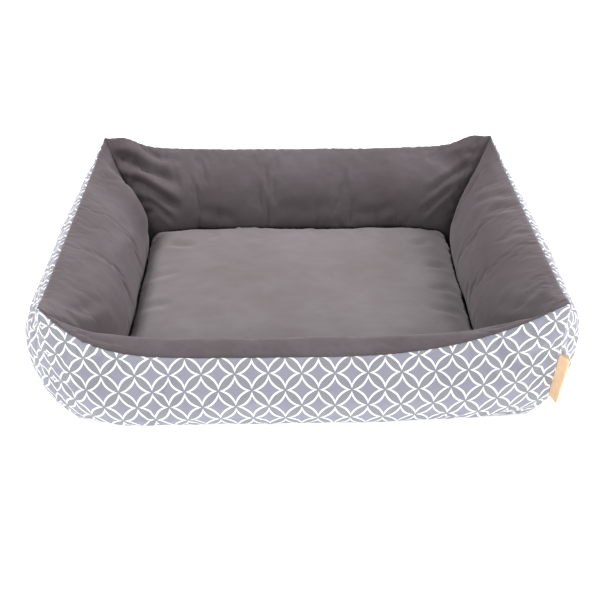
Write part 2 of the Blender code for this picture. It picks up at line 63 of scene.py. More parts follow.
SIDE_WALL = dict(
    reach=SIDE_REACH, tip_reach=SIDE_TIP, half_span=SIDE_HALF, thickness=0.132,
    rim=(0.037, 0.175), crest=(0.058, 0.171), shoulder=(0.010, 0.146), belly=0.096,
    foot=0.052, inner_belly=0.068, rise=(6.0, 6.0), ear=0.002,
)
WALLS = {
    "front": dict(
        turn=0.0, reach=FRONT_REACH, tip_reach=FRONT_TIP, half_span=FRONT_HALF, thickness=0.093,
        rim=(0.036, 0.112), crest=(0.063, 0.126), shoulder=(0.009, 0.074), belly=0.046,
        foot=0.036, inner_belly=0.060, rise=(6.5, 2.8), ear=0.0,
    ),
    "rear": dict(
        turn=math.pi, reach=FRONT_REACH, tip_reach=FRONT_TIP, half_span=FRONT_HALF, thickness=0.093,
        rim=(0.012, 0.178), crest=(0.030, 0.176), shoulder=(0.002, 0.140), belly=0.090,
        foot=0.036, inner_belly=0.068, rise=(5.0, 5.0), ear=0.011,
    ),
    "right": dict(SIDE_WALL, turn=math.pi / 2),
    "left": dict(SIDE_WALL, turn=-math.pi / 2),
}

# The corner seams sink between the full walls inside the nest
INNER_GROOVE = 0.0085
SEAM_SHARPNESS = 34
SWELL_STEPS = 20


def curve_through(points, steps=16):
    """A smooth curve through points, that many steps between two of them."""
    points = np.array(points, float)
    last = len(points) - 1
    t = np.arange(steps)[:, None] / steps
    runs = []
    for i in range(last):
        before, start = points[max(i - 1, 0)], points[i]
        end, after = points[i + 1], points[min(i + 2, last)]
        span = np.linalg.norm(end - start)
        leave = (end - before) * span / max(np.linalg.norm(end - before), 1e-9)
        arrive = (after - start) * span / max(np.linalg.norm(after - start), 1e-9)
        runs.append(
            start * (2 * t**3 - 3 * t**2 + 1) + leave * (t**3 - 2 * t**2 + t)
            + end * (3 * t**2 - 2 * t**3) + arrive * (t**3 - t**2)
        )
    return np.vstack(runs + [points[-1:]])


def run_along(points, axis=0):
    """How far each point lies along its line, measured over the cloth. The lines follow that axis."""
    steps = np.linalg.norm(np.diff(points, axis=axis), axis=-1)
    return np.concatenate(
        [np.zeros_like(np.take(steps, [0], axis=axis)), np.cumsum(steps, axis=axis)], axis=axis,
    )


def evenly(curve, cells):
    """The curve's points set an equal distance apart."""
    run = run_along(curve)
    at = np.linspace(0, run[-1], cells + 1)
    return np.stack([np.interp(at, run, curve[:, k]) for k in range(curve.shape[1])], axis=1)


def wall_sections(wall):
    """The wall's section at its middle and at a corner: inside and outside, foot to rim to foot."""
    reach, nest = wall["reach"], wall["reach"] - wall["thickness"]
    rim = (reach - wall["rim"][0], wall["rim"][1])
    crest = (reach - wall["crest"][0], wall["crest"][1])
    belly = (nest, wall["inner_belly"])
    shoulder = (belly[0] + 0.36 * (crest[0] - belly[0]), belly[1] + 0.66 * (crest[1] - belly[1]))
    inner = [(nest + 0.020, WALL_BASE), (nest + 0.003, 0.6 * belly[1]), belly, shoulder, crest, rim]
    outer = [
        rim,
        (reach - wall["shoulder"][0], wall["shoulder"][1]),
        (reach, wall["belly"]),
        (reach - 0.28 * wall["foot"], 0.42 * wall["belly"]),
        (reach - wall["foot"], WALL_BASE),
    ]
    rise_to = [(x, z if z == WALL_BASE else z * TIP_HEIGHT) for x, z in INNER_CORNER]
    fall_to = [(x, z if z == WALL_BASE else z * TIP_HEIGHT) for x, z in OUTER_CORNER]
    tip = (0.0, TIP_HEIGHT)
    return [curve_through(c) for c in (inner, outer, rise_to + [tip], [tip] + fall_to)]


def wall_grid(wall):
    """The wall's cloth as a grid of points in its own frame: rows along it, columns from foot to foot."""
    inner, outer, corner_inner, corner_outer = wall_sections(wall)
    grid = []
    ends = np.linspace(-1, 1, ALONG_CELLS + 1)
    for along in 0.55 * ends + 0.45 * np.sin(ends * math.pi / 2):
        along *= 1 - 0.0001 / wall["half_span"]
        turned = abs(along) ** wall["rise"][1 if along > 0 else 0]
        halves = []
        sunk = abs(along) ** SEAM_SHARPNESS
        for mid, tip, cells, groove in (
            (inner, corner_inner, INNER_CELLS, INNER_GROOVE), (outer, corner_outer, OUTER_CELLS, 0),
        ):
            dent = groove * sunk * np.sin(np.linspace(0, math.pi, len(tip))) ** 0.6
            out = mid[:, 0] + (wall["tip_reach"] + tip[:, 0] - mid[:, 0]) * turned + dent
            height = mid[:, 1] + (tip[:, 1] - mid[:, 1]) * turned
            across = along * (wall["half_span"] + tip[:, 0] + dent)
            halves.append(evenly(np.stack([across, -out, height], axis=1), cells))
        section = np.vstack([halves[0], halves[1][1:]])
        rows = np.arange(len(section)) - INNER_CELLS
        ear = wall["ear"] * math.exp(-(((abs(along) - 0.90) / 0.075) ** 2))
        section[:, 2] += ear * np.exp(-((rows / 5.0) ** 2))
        grid.append(section)
    return np.array(grid)


def normals(grid):
    """The grid's unit normals, on the side that faces out of the stuffing."""
    along = np.gradient(grid, axis=0)
    down = np.gradient(grid, axis=1)
    out = np.cross(down, along)
    return out / np.maximum(np.linalg.norm(out, axis=2, keepdims=True), 1e-12)


def finer(grid):
    """The grid with a smoothly placed point put between every two."""
    for axis in (0, 1):
        g = np.moveaxis(grid, axis, 0)
        padded = np.concatenate([2 * g[:1] - g[1:2], g, 2 * g[-1:] - g[-2:-1]])
        between = (9 * (padded[1:-2] + padded[2:-1]) - padded[:-3] - padded[3:]) / 16
        made = np.empty((2 * len(g) - 1,) + g.shape[1:])
        made[::2], made[1::2] = g, between
        grid = np.moveaxis(made, 0, axis)
    return grid


def quads(index):
    """The faces between neighbouring rows and columns of a table of point numbers."""
    corners = (index[:-1, :-1], index[1:, :-1], index[1:, 1:], index[:-1, 1:])
    return np.stack([c.ravel() for c in corners], axis=1)


def smooth_object(name, points, faces):
    """An object in the scene, smooth shaded, from points and faces."""
    mesh = bpy.data.meshes.new(name)
    mesh.from_pydata(points, [], faces)
    mesh.shade_smooth()
    made = bpy.data.objects.new(name, mesh)
    bpy.context.scene.collection.objects.link(made)
    return made


def cloth_mesh(name, grid, uv=None, flip=False):
    """An object from a grid of points, one quad to a cell."""
    rows, columns = grid.shape[:2]
    index = np.arange(rows * columns).reshape(rows, columns)
    corners = [index[:-1, :-1], index[:-1, 1:], index[1:, 1:], index[1:, :-1]]
    if flip:
        corners.reverse()
    faces = np.stack([c.ravel() for c in corners], axis=1)
    made = smooth_object(name, grid.reshape(-1, 3).tolist(), faces.tolist())
    if uv is not None:
        layer = made.data.uv_layers.new(name="cloth")
        layer.data.foreach_set("uv", uv.reshape(-1, 2)[faces.ravel()].astype(np.float32).ravel())
    return made


def swell(name, grid, held, slack, pressure, cap):
    """The grid after the stuffing has pushed it out as cloth. held says how firmly each
    point stays, slack how much spare cloth it has; no point moves further than cap."""
    cloth = cloth_mesh(name, grid)
    pins = cloth.vertex_groups.new(name="held")
    spare = cloth.vertex_groups.new(name="spare")
    for i, (firm, loose) in enumerate(zip(held.ravel(), slack.ravel())):
        pins.add([i], float(firm), "REPLACE")
        spare.add([i], float(1 - loose), "REPLACE")
    modifier = cloth.modifiers.new("stuffing", "CLOTH")
    settings = modifier.settings
    settings.quality = 6
    settings.mass = 0.25
    settings.tension_stiffness = settings.compression_stiffness = settings.shear_stiffness = 15
    settings.bending_stiffness = 0.6
    settings.vertex_group_mass = "held"
    settings.vertex_group_shrink = "spare"
    settings.shrink_min = -0.07
    settings.shrink_max = 0.0
    settings.use_pressure = True
    settings.uniform_pressure_force = pressure
    settings.effector_weights.gravity = 0.0
    modifier.collision_settings.use_collision = False
    for step in range(1, SWELL_STEPS + 1):
        bpy.context.scene.frame_set(step)
    result = cloth.evaluated_get(bpy.context.evaluated_depsgraph_get())
    moved = np.array([v.co for v in result.data.vertices]).reshape(grid.shape)
    bpy.context.scene.frame_set(1)
    bpy.data.objects.remove(cloth)
    shift = moved - grid
    length = np.maximum(np.linalg.norm(shift, axis=2, keepdims=True), 1e-9)
    return grid + shift * (cap * np.tanh(length / cap) / length)


def fold(grid, out, along, down, path, width, depth, taper=0.25):
    """Presses a crease into the grid along a path of (along, down) points, with the cloth it pushes
    aside standing up in low ridges beside it. The crease fades out towards its ends."""
    path = curve_through(path, 8)
    nearest = np.full(along.shape, 1e9)
    place = np.zeros(along.shape)
    for i, (a, b) in enumerate(zip(path, path[1:])):
        step = b - a
        t = ((along - a[0]) * step[0] + (down - a[1]) * step[1]) / max(step @ step, 1e-12)
        t = np.clip(t, 0, 1)
        away = np.hypot(along - a[0] - t * step[0], down - a[1] - t * step[1])
        closer = away < nearest
        nearest = np.where(closer, away, nearest)
        place = np.where(closer, (i + t) / (len(path) - 1), place)
    fade = np.clip(np.minimum(place, 1 - place) / taper, 0, 1)
    fade = fade * fade * (3 - 2 * fade)
    dip = np.exp(-((nearest / width) ** 2))
    ridge = np.exp(-(((nearest - 1.9 * width) / (0.9 * width)) ** 2))
    return grid + out * (fade * depth * (0.38 * ridge - dip))[:, :, None]


def lumps(grid, size, seed):
    """Smooth noise from -1 to 1 over the points of a grid, with lumps of about that size."""
    flat = (grid.reshape(-1, 3) / size + seed).tolist()
    return np.array([noise.noise(p) for p in flat]).reshape(grid.shape[:2])


def creases(rows):
    """The path, width and depth in metres of each crease. A row holds three points of its path, then
    its width and depth, in millimetres; a negative depth stands up instead."""
    for row in rows:
        x1, y1, x2, y2, x3, y3, width, depth = (v / 1000 for v in row)
        yield [(x1, y1), (x2, y2), (x3, y3)], width, depth


# Folds in the suede. Points are how far along the wall from its middle and how far below the rim
FOLDS = {
    "front": [
        (-318, 16, -285, 12, -245, 17, 5, 1.8), (318, 20, 290, 14, 250, 18, 5, 1.6),
        (300, 52, 262, 40, 225, 43, 6, 2), (-300, 55, -262, 46, -225, 52, 6.5, 2.2),
    ],
    "rear": [
        (352, 34, 312, 54, 232, 82, 12, 9.6), (340, 78, 304, 100, 246, 132, 10.5, 8.6),
        (322, 118, 300, 134, 270, 150, 8, 4), (300, 16, 262, 28, 214, 34, 8.5, 2.6),
        (-342, 58, -305, 80, -262, 108, 9, 4.6), (-322, 100, -292, 120, -262, 144, 8, 3.8),
        (-250, 12, -205, 22, -150, 18, 8, 1.2), (-90, 110, -20, 122, 60, 116, 14, 1.4),
        (215, 126, 180, 136, 130, 138, 10, 1.8), (-215, 122, -170, 132, -120, 134, 10, 1.6),
    ],
    "right": [
        (98, 4, 134, 40, 160, 88, 10, 2.4), (45, 4, 76, 32, 86, 66, 9.5, 2.2),
        (-40, 6, -26, 32, -34, 56, 9, 1.6), (258, 50, 232, 76, 200, 102, 9, 3.6),
        (238, 94, 218, 112, 192, 126, 8, 3), (-252, 56, -222, 80, -186, 94, 11, 1.6),
        (120, 70, 80, 90, 30, 94, 14, 1.6),
    ],
    "left": [
        (-224, 4, -208, 78, -198, 160, 32, -10), (-262, 52, -240, 74, -222, 98, 7, 2.6),
        (252, 52, 222, 70, 172, 84, 13, 2.2), (150, 18, 120, 40, 75, 50, 12, 1.6),
        (-20, 70, -75, 84, -130, 78, 15, 1.6), (40, 105, -10, 112, -60, 108, 13, 1.4),
    ],
}
# Pleats down the print beside its corners, in the same way, with points down the outside
PLEATS = {
    "front": [
        (-340, 35, -335, 75, -322, 120, 8, 1.6), (338, 60, 330, 95, 315, 130, 8, 1.4),
        (-280, 132, -220, 126, -150, 131, 5, 1.4), (285, 128, 230, 124, 170, 131, 5, 1.6),
    ],
    "rear": [
        (-330, 40, -325, 100, -310, 160, 6.5, 2.8), (332, 50, 322, 110, 312, 165, 6.5, 2.8),
        (-250, 165, -190, 158, -120, 166, 6, 1.6), (240, 160, 180, 152, 110, 164, 6, 1.6),
    ],
    "right": [
        (-274, 30, -268, 90, -252, 160, 7.8, 2.5), (-252, 50, -250, 105, -236, 165, 7.2, 1.9),
        (-228, 80, -224, 130, -214, 170, 7.2, 1.4), (270, 40, 262, 100, 250, 165, 7.8, 2.3),
        (244, 70, 240, 120, 232, 168, 7.2, 1.5),
    ],
    "left": [
        (274, 28, 266, 85, 252, 155, 7.8, 2.7), (250, 45, 246, 100, 236, 165, 7.2, 2.3),
        (226, 70, 222, 125, 212, 170, 7.2, 1.6), (200, 100, 196, 140, 190, 172, 6.5, 1.2),
        (-270, 40, -262, 100, -250, 165, 7.8, 2.3),
    ],
}
# How much spare suede each wall has beside its corners, from 0 to 1
INNER_SPARE = {"front": 0.4, "rear": 0.9, "right": 0.0, "left": 0.0}
# The share of the print's greatest puff that the suede has
INNER_CAP = {"front": 0.9, "rear": 1.0, "right": 0.55, "left": 0.6}
RIM_GROOVE = 0.0016
RIM_PUCKER = 0.0009
WALL_PRESSURE = 4.0
PUFF_LEAST, PUFF_MOST = 0.0008, 0.0050
CORNER_START = 0.62


def sewn_wall(name, wall):
    """The wall's finished cloth as a fine grid in the row frame, its cloth coordinates in metres, and
    the column that the rim seam runs along."""
    grid = wall_grid(wall)
    belly = np.argmin(grid[ALONG_CELLS // 2, :, 1])
    run = run_along(grid[:, belly])
    run -= np.interp(ALONG_CELLS / 2, np.arange(len(run)), run)
    fall = run_along(grid, axis=1)
    cloth = np.stack([np.broadcast_to(run[:, None], fall.shape), fall[:, -1:] - fall], axis=2)

    end = np.abs(grid[:, belly, 0] / np.abs(grid[:, belly, 0]).max())[:, None]
    column = np.arange(INNER_CELLS + OUTER_CELLS + 1)[None, :]
    foot = np.minimum(column, column.max() - column)
    held = np.clip(1.0 - foot / 2.0, 0, 1) + np.clip((end - 0.965) / 0.02, 0, 1)
    held = np.clip(held + 0.75 * np.exp(-(((column - INNER_CELLS) / 1.6) ** 2)), 0, 1)
    corner = np.clip((end - CORNER_START) / 0.36, 0, 1)
    cap = PUFF_LEAST + (PUFF_MOST - PUFF_LEAST) * (1 - corner**2) * np.ones_like(fall)
    spare = np.where(column < INNER_CELLS, INNER_SPARE[name], 0.9)
    slack = np.clip((end - CORNER_START) / 0.3, 0, 1) * spare + 0.25 * lumps(grid, 0.09, 3.1)
    slack = np.clip(slack + 0.1, 0, 1)
    cap = cap * np.where(column < INNER_CELLS, INNER_CAP[name], 1.0)
    grid = swell(f"{name}_blank", grid, held * np.ones_like(fall), slack, WALL_PRESSURE, cap[:, :, None])

    grid, cloth = finer(grid), finer(cloth)
    rim = INNER_CELLS * 2
    out = normals(grid)
    along = cloth[:, :, 0]
    down = np.abs(cloth[:, rim : rim + 1, 1] - cloth[:, :, 1])
    inside = np.arange(grid.shape[1])[None, :] < rim
    for path, width, depth in creases(FOLDS[name]):
        grid = fold(grid, out, along, np.where(inside, down, 1.0), path, width, depth)
    for path, width, depth in creases(PLEATS[name]):
        grid = fold(grid, out, along, np.where(inside, 1.0, down), path, width, depth)
    soft = 0.0012 * lumps(grid, 0.07, 11.3) + 0.0005 * lumps(grid, 0.022, 5.7)
    pucker = lumps(np.stack([along, along * 0, along * 0], axis=2), 0.0068, 2.9)
    pucker += 0.5 * lumps(np.stack([along, down, along * 0], axis=2), 0.0130, 8.1)
    near = np.exp(-((down / 0.0022) ** 2))
    beside = np.exp(-((down / 0.0110) ** 2)) - near
    rise = soft * (1 - near) - RIM_GROOVE * near + RIM_PUCKER * beside * pucker + 0.0009 * beside
    keep = np.clip(np.minimum(np.arange(grid.shape[0]), np.arange(grid.shape[0])[::-1]) / 6, 0, 1)
    grid = grid + out * (rise * keep[:, None])[:, :, None]
    turn = wall["turn"]
    spin = np.array(
        [[math.cos(turn), -math.sin(turn), 0], [math.sin(turn), math.cos(turn), 0], [0, 0, 1]]
    )
    return grid @ spin.T, cloth, rim


SEWN = {name: sewn_wall(name, wall) for name, wall in WALLS.items()}

# ---- The grey suede linings ----------------------------------------------------------------------
# Polyester micro suede, brushed to a short nap. It rolls from the nest over each wall's crest and is
# sewn to the print along the rim. The nap gives it soft lighter and darker strokes and a faint sheen.


def linear(hex_colour):
    """An sRGB hex colour as linear RGBA."""
    parts = [int(hex_colour[i : i + 2], 16) / 255 for i in (1, 3, 5)]
    return [p / 12.92 if p <= 0.04045 else ((p + 0.055) / 1.055) ** 2.4 for p in parts] + [1.0]


def node(tree, kind, settings=None, links=None):
    """Adds a node with its settings, and links or sets its inputs. kind is a shader node unless it
    names a geometry one. A ramp's stops are (position, hex colour), its two end ones first."""
    made = tree.nodes.new(kind if kind.startswith("Geometry") else "ShaderNode" + kind)
    settings = dict(settings or {})
    for number, (position, colour) in enumerate(settings.pop("stops", [])):
        stops = made.color_ramp.elements
        stop = stops[number] if number < 2 else stops.new(position)
        stop.position, stop.color = position, linear(colour)
    for name, value in settings.items():
        setattr(made, name, value)
    for socket, source in (links or {}).items():
        if isinstance(source, bpy.types.Node):
            source = source.outputs[0]
        if isinstance(source, bpy.types.NodeSocket):
            tree.links.new(source, made.inputs[socket])
        else:
            made.inputs[socket].default_value = source
    return made


def new_finish(name):
    """A material, its node tree, and the place of the shaded point in its object."""
    made = bpy.data.materials.new(name)
    made.use_nodes = True
    made.node_tree.nodes.clear()
    return made, made.node_tree, node(made.node_tree, "TexCoord").outputs["Object"]


def finished(made, look):
    """The material, with the surface that these inputs give."""
    surface = node(made.node_tree, "BsdfPrincipled", links=look)
    node(made.node_tree, "OutputMaterial", links={"Surface": surface})
    return made


NAP_SPREAD = 0.16


def brushed_suede(name, dark, middle, light):
    """Micro suede: strokes of the nap a hand wide and a finger wide, and fibres of 0.8 mm, drawn
    about three times as coarse as they are."""
    made, tree, place = new_finish(name)
    hand = node(tree, "TexNoise", links={"Vector": place, "Scale": 9.0, "Detail": 3.0, "Roughness": 0.55})
    turned = {"Vector": place, "Scale": (1.0, 2.1, 1.4), "Rotation": (0.3, 0.2, 0.7)}
    drawn = node(tree, "Mapping", links=turned)
    finger = node(
        tree, "TexNoise", links={"Vector": drawn, "Scale": 38.0, "Detail": 4.0, "Roughness": 0.6},
    )
    fibre = node(
        tree, "TexNoise", links={"Vector": place, "Scale": 900.0, "Detail": 2.0, "Roughness": 0.7},
    )
    both = node(tree, "Math", {"operation": "MULTIPLY_ADD"}, {0: finger, 1: 0.45, 2: hand})
    both = node(tree, "Math", {"operation": "MULTIPLY_ADD"}, {0: fibre, 1: 0.22, 2: both})
    both = node(tree, "Math", {"operation": "MULTIPLY"}, {0: both, 1: 0.6})
    stops = [(0.5 - NAP_SPREAD, dark), (0.5 + NAP_SPREAD, light), (0.5, middle)]
    ramp = node(tree, "ValToRGB", {"stops": stops}, {0: both})
    grain = node(tree, "Math", {"operation": "MULTIPLY_ADD"}, {0: fibre, 1: 0.25, 2: finger})
    bump = node(tree, "Bump", links={"Height": grain, "Strength": 0.22, "Distance": 0.0012})
    return finished(made, {
        "Base Color": ramp, "Roughness": 0.92, "Normal": bump, "Sheen Weight": 0.36,
        "Sheen Roughness": 0.45, "Sheen Tint": linear("#cfc6ca"), "Specular IOR Level": 0.18,
    })


SUEDE_THICKNESS = 0.0012
suede = brushed_suede("brushed_micro_suede", "#4f474a", "#564f52", "#5e585b")


def thicken(piece, thickness):
    """Gives an open cloth its thickness, behind the face that shows."""
    modifier = piece.modifiers.new("thickness", "SOLIDIFY")
    modifier.thickness = thickness
    modifier.offset = -1.0
    modifier.use_even_offset = False


for side, (grid, cloth, rim) in SEWN.items():
    lining = cloth_mesh(f"{side}_lining", grid[:, : rim + 1], cloth[:, : rim + 1], flip=True)
    lining.data.materials.append(suede)
    thicken(lining, SUEDE_THICKNESS)
    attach(lining, "bed")
    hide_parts(f"{side}_inner_panel")

# ---- The printed outer panels --------------------------------------------------------------------
# Plain-woven cotton, screen printed with white rings that overlap, so that a grey four-pointed
# lozenge shows in each ring and a grey petal between two. The threads are about 0.5 mm apart.
RING_PITCH = 0.03195
RING_RADIUS = 22.6
LINE_HALF = 1.0
PETAL_HALF = 4.45
PETAL_RADIUS = 31.1


def printed_cotton(name, shift):
    """Rings of 45 mm on a square lattice that stands on its corner. shift moves them along and up."""
    made, tree, _ = new_finish(name)
    uv = node(tree, "UVMap", {"uv_map": "cloth"})
    wander = node(tree, "TexNoise", links={"Vector": uv, "Scale": 55.0, "Detail": 1.0}).outputs["Color"]
    shaken = node(tree, "VectorMath", {"operation": "SUBTRACT"}, {0: wander, 1: (0.5, 0.5, 0.5)})
    shaken = node(tree, "VectorMath", {"operation": "SCALE"}, {0: shaken, "Scale": 0.0012})
    drawn = node(tree, "VectorMath", {"operation": "ADD"}, {0: uv, 1: shaken})
    raised = node(tree, "VectorMath", {"operation": "ADD"}, {0: drawn, 1: (*shift, 0.0)})
    per_cell = 1 / RING_PITCH
    lattice = node(tree, "Mapping", links={
        "Vector": raised, "Scale": (per_cell, per_cell, 0), "Rotation": (0, 0, math.pi / 4),
        "Location": (0.5, 0.5, 0),
    })
    inside = node(tree, "VectorMath", {"operation": "FRACTION"}, {0: lattice})
    centred = node(tree, "VectorMath", {"operation": "SUBTRACT"}, {0: inside, 1: (0.5, 0.5, 0.0)})
    folded = node(tree, "VectorMath", {"operation": "ABSOLUTE"}, {0: centred})

    def beyond(away, low, high):
        """From 0 to 1 as the distance from the nearest ring's middle, in millimetres, goes from low to
        high. The ring's middle lies that many cells away from the cell's own."""
        first, second = (
            node(tree, "VectorMath", {"operation": "DISTANCE"}, {0: folded, 1: middle}).outputs["Value"]
            for middle in ((away, 0, 0), (0, away, 0))
        )
        least = node(tree, "Math", {"operation": "MINIMUM"}, {0: first, 1: second})
        distance = node(tree, "Math", {"operation": "MULTIPLY"}, {0: least, 1: RING_PITCH * 1000})
        return node(
            tree, "MapRange", {"interpolation_type": "SMOOTHSTEP"},
            {"Value": distance, "From Min": low, "From Max": high, "To Min": 0.0, "To Max": 1.0},
        )

    line = RING_RADIUS + LINE_HALF
    lozenge = beyond(1.0, line - 0.25, line + 0.25)
    lens_middle = 0.5 + (PETAL_RADIUS - PETAL_HALF) / (RING_PITCH * 1000)
    petal = beyond(lens_middle, PETAL_RADIUS + 0.65, PETAL_RADIUS + 0.15)

    threads = {"Vector": uv, "Scale": 160.0, "Distortion": 0.6, "Detail": 1.0}
    warp = node(tree, "TexWave", {"bands_direction": "X"}, threads).outputs["Fac"]
    weft = node(tree, "TexWave", {"bands_direction": "Y"}, threads).outputs["Fac"]
    weave = node(tree, "Math", {"operation": "ADD"}, {0: warp, 1: weft})
    weave = node(tree, "Math", {"operation": "MULTIPLY"}, {0: weave, 1: 0.5})
    slub = node(tree, "TexNoise", links={"Vector": uv, "Scale": 420.0, "Detail": 3.0, "Roughness": 0.7})
    soft = node(tree, "TexNoise", links={"Vector": uv, "Scale": 14.0, "Detail": 2.0}).outputs[0]
    fuzz = node(tree, "Math", {"operation": "MULTIPLY"}, {0: slub, 1: 0.16})
    ink = {0: soft, 6: linear("#878794"), 7: linear("#91919e")}
    leaf = {0: soft, 6: linear("#81838b"), 7: linear("#8b8d94")}
    ink, leaf = (node(tree, "Mix", {"data_type": "RGBA"}, mixed).outputs[2] for mixed in (ink, leaf))
    colour = linear("#f4f3f3")
    for share, other in ((lozenge, ink), (petal, leaf), (fuzz, linear("#6d6d78"))):
        colour = node(tree, "Mix", {"data_type": "RGBA"}, {0: share, 6: colour, 7: other}).outputs[2]
    height = node(tree, "Math", {"operation": "MULTIPLY_ADD"}, {0: slub, 1: 0.5, 2: weave})
    bump = node(tree, "Bump", links={"Height": height, "Strength": 0.2, "Distance": 0.0004})
    return finished(made, {
        "Base Color": colour, "Roughness": 0.85, "Normal": bump, "Sheen Weight": 0.12,
        "Sheen Roughness": 0.5, "Specular IOR Level": 0.25,
    })


COTTON_THICKNESS = 0.0012
cotton = printed_cotton("printed_plain_weave_cotton", (0.0038, -0.0019))

for side, (grid, cloth, rim) in SEWN.items():
    panel = cloth_mesh(f"{side}_panel", grid[:, rim:], cloth[:, rim:], flip=True)
    panel.data.materials.append(cotton)
    thicken(panel, COTTON_THICKNESS)
    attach(panel, "bed")
    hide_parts(f"{side}_outer_panel")

# ---- The walls' stuffing -------------------------------------------------------------------------
# Loose polyester fibre, blown into each wall. It is a soft white lump that fills the cloth and stays
# out of sight while the seams hold.


def loose_fibre(name):
    """Loose polyester fibre: white and quite matt, in tufts some 15 mm across."""
    made, tree, place = new_finish(name)
    tuft = node(tree, "TexNoise", links={"Vector": place, "Scale": 60.0, "Detail": 5.0, "Roughness": 0.7})
    ramp = node(tree, "ValToRGB", {"stops": [(0, "#d2d1cd"), (1, "#f2f1ee")]}, {0: tuft})
    bump = node(tree, "Bump", links={"Height": tuft, "Strength": 0.6, "Distance": 0.002})
    return finished(made, {"Base Color": ramp, "Roughness": 1.0, "Normal": bump})


fibre = loose_fibre("loose_polyester_fibre")


def closed_tube(name, grid):
    """A closed solid from a wall's grid: round each section and capped at both ends."""
    rows, columns = grid.shape[:2]
    index = np.arange(rows * columns).reshape(rows, columns)
    ring = np.concatenate([index, index[:, :1]], axis=1)
    points = grid.reshape(-1, 3).tolist()
    caps = []
    for end, back in ((0, False), (rows - 1, True)):
        points.append(grid[end].mean(0).tolist())
        hub = len(points) - 1
        edge = list(zip(ring[end, :-1], ring[end, 1:]))
        caps += [(hub, b, a) if back else (hub, a, b) for a, b in edge]
    return smooth_object(name, points, [tuple(int(i) for i in f) for f in quads(ring).tolist() + caps])


STUFFING_SETBACK = 0.0095
STUFFING_ENDS = 2

for side, (grid, cloth, rim) in SEWN.items():
    coarse = grid[::4, ::4]
    out = normals(grid)[::4, ::4]
    coarse = (coarse - out * STUFFING_SETBACK)[STUFFING_ENDS:-STUFFING_ENDS]
    ends = np.abs(np.linspace(-1, 1, len(coarse)))[:, None]
    middle = coarse.mean(1, keepdims=True)
    coarse = coarse + (middle - coarse) * 0.16 * np.clip((ends - 0.9) / 0.1, 0, 1)[:, :, None]
    coarse[:, :, 2] = np.maximum(coarse[:, :, 2], WALL_BASE + 0.0015)
    stuffing = closed_tube(f"{side}_stuffing", coarse)
    stuffing.data.materials.append(fibre)
    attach(stuffing, "bed")
    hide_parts(f"{side}_filling")

# ---- The bottom panel ----------------------------------------------------------------------------
# Black polyester cloth under the whole bed, sewn to the walls' outer feet, with rows of clear-coated
# rubber grip dots 4 mm across that keep it from sliding. Its edge is the bulky turned seam.
HEM_WIDTH = 0.006


def loop_at(height, outside):
    """The closed line round the bed along which the walls' cloth crosses a height."""
    points = []
    for side in ("front", "right", "rear", "left"):
        grid, _, rim = SEWN[side]
        for row in grid[::2]:
            part = row[: rim // 2] if not outside else row[::-1][: (len(row) - rim) // 2]
            z = part[:, 2]
            points.append([np.interp(height, z, part[:, 0]), np.interp(height, z, part[:, 1])])
    return np.array(points)


def drawn_in(loop, distance):
    """A loop moved inwards by a distance that is small beside its size."""
    lean = np.roll(loop, -3, axis=0) - np.roll(loop, 3, axis=0)
    lean /= np.maximum(np.linalg.norm(lean, axis=1, keepdims=True), 1e-9)
    return loop + np.stack([-lean[:, 1], lean[:, 0]], axis=1) * distance


def ringed_sheet(name, loop, base, rings, heights):
    """A closed solid whose top follows rings, each (distance in from the loop, height), and whose
    underside lies flat at base. heights lifts each point of the top by where it lies in plan."""
    count = len(loop)
    centre = loop.mean(0)
    points, faces = [], []
    for distance, height in rings:
        ring = drawn_in(loop, distance)
        lift = height + heights(ring)
        points += np.column_stack([ring, lift]).tolist()
    for share in (0.86, 0.7, 0.52, 0.34, 0.17):
        ring = centre + (drawn_in(loop, rings[-1][0]) - centre) * share
        points += np.column_stack([ring, rings[-1][1] + heights(ring)]).tolist()
    points.append([*centre, rings[-1][1] + float(heights(centre[None])[0])])
    levels = len(rings) + 5
    index = np.arange(count)
    after = np.roll(index, -1)
    for k in range(levels - 1):
        low, high = k * count, (k + 1) * count
        faces += np.stack([index + low, after + low, after + high, index + high], axis=1).tolist()
    hub = levels * count
    faces += [
        (int(a) + (levels - 1) * count, int(b) + (levels - 1) * count, hub) for a, b in zip(index, after)
    ]
    under = len(points)
    points += np.column_stack([loop, np.full(count, base)]).tolist()
    points.append([*centre, base])
    faces += np.stack([after, index, index + under, after + under], axis=1).tolist()
    faces += [(int(b) + under, int(a) + under, under + count) for a, b in zip(index, after)]
    return smooth_object(name, points, faces)


def non_slip_cloth(name):
    """Woven polyester, dyed black: dull, with a diagonal rib of 3 mm and paler dust in patches."""
    made, tree, place = new_finish(name)
    rib = node(
        tree, "TexWave", {"bands_direction": "DIAGONAL"},
        {"Vector": place, "Scale": 110.0, "Distortion": 0.4},
    )
    dust = node(tree, "TexNoise", links={"Vector": place, "Scale": 24.0, "Detail": 4.0})
    ramp = node(tree, "ValToRGB", {"stops": [(0, "#2b2b2d"), (1, "#3a3a3d")]}, {0: dust})
    bump = node(tree, "Bump", links={"Height": rib, "Strength": 0.4, "Distance": 0.0004})
    return finished(
        made, {"Base Color": ramp, "Roughness": 0.8, "Normal": bump, "Specular IOR Level": 0.3},
    )


def soft_rubber(name):
    """Moulded rubber: dark grey, scuffed, so that its gloss varies from dot to dot."""
    made, tree, place = new_finish(name)
    scuff = node(tree, "TexNoise", links={"Vector": place, "Scale": 300.0, "Detail": 3.0})
    worn = node(tree, "MapRange", links={"Value": scuff, "To Min": 0.45, "To Max": 0.7})
    ramp = node(tree, "ValToRGB", {"stops": [(0, "#4a4a4c"), (1, "#5a5a5d")]}, {0: scuff})
    return finished(made, {"Base Color": ramp, "Roughness": worn})


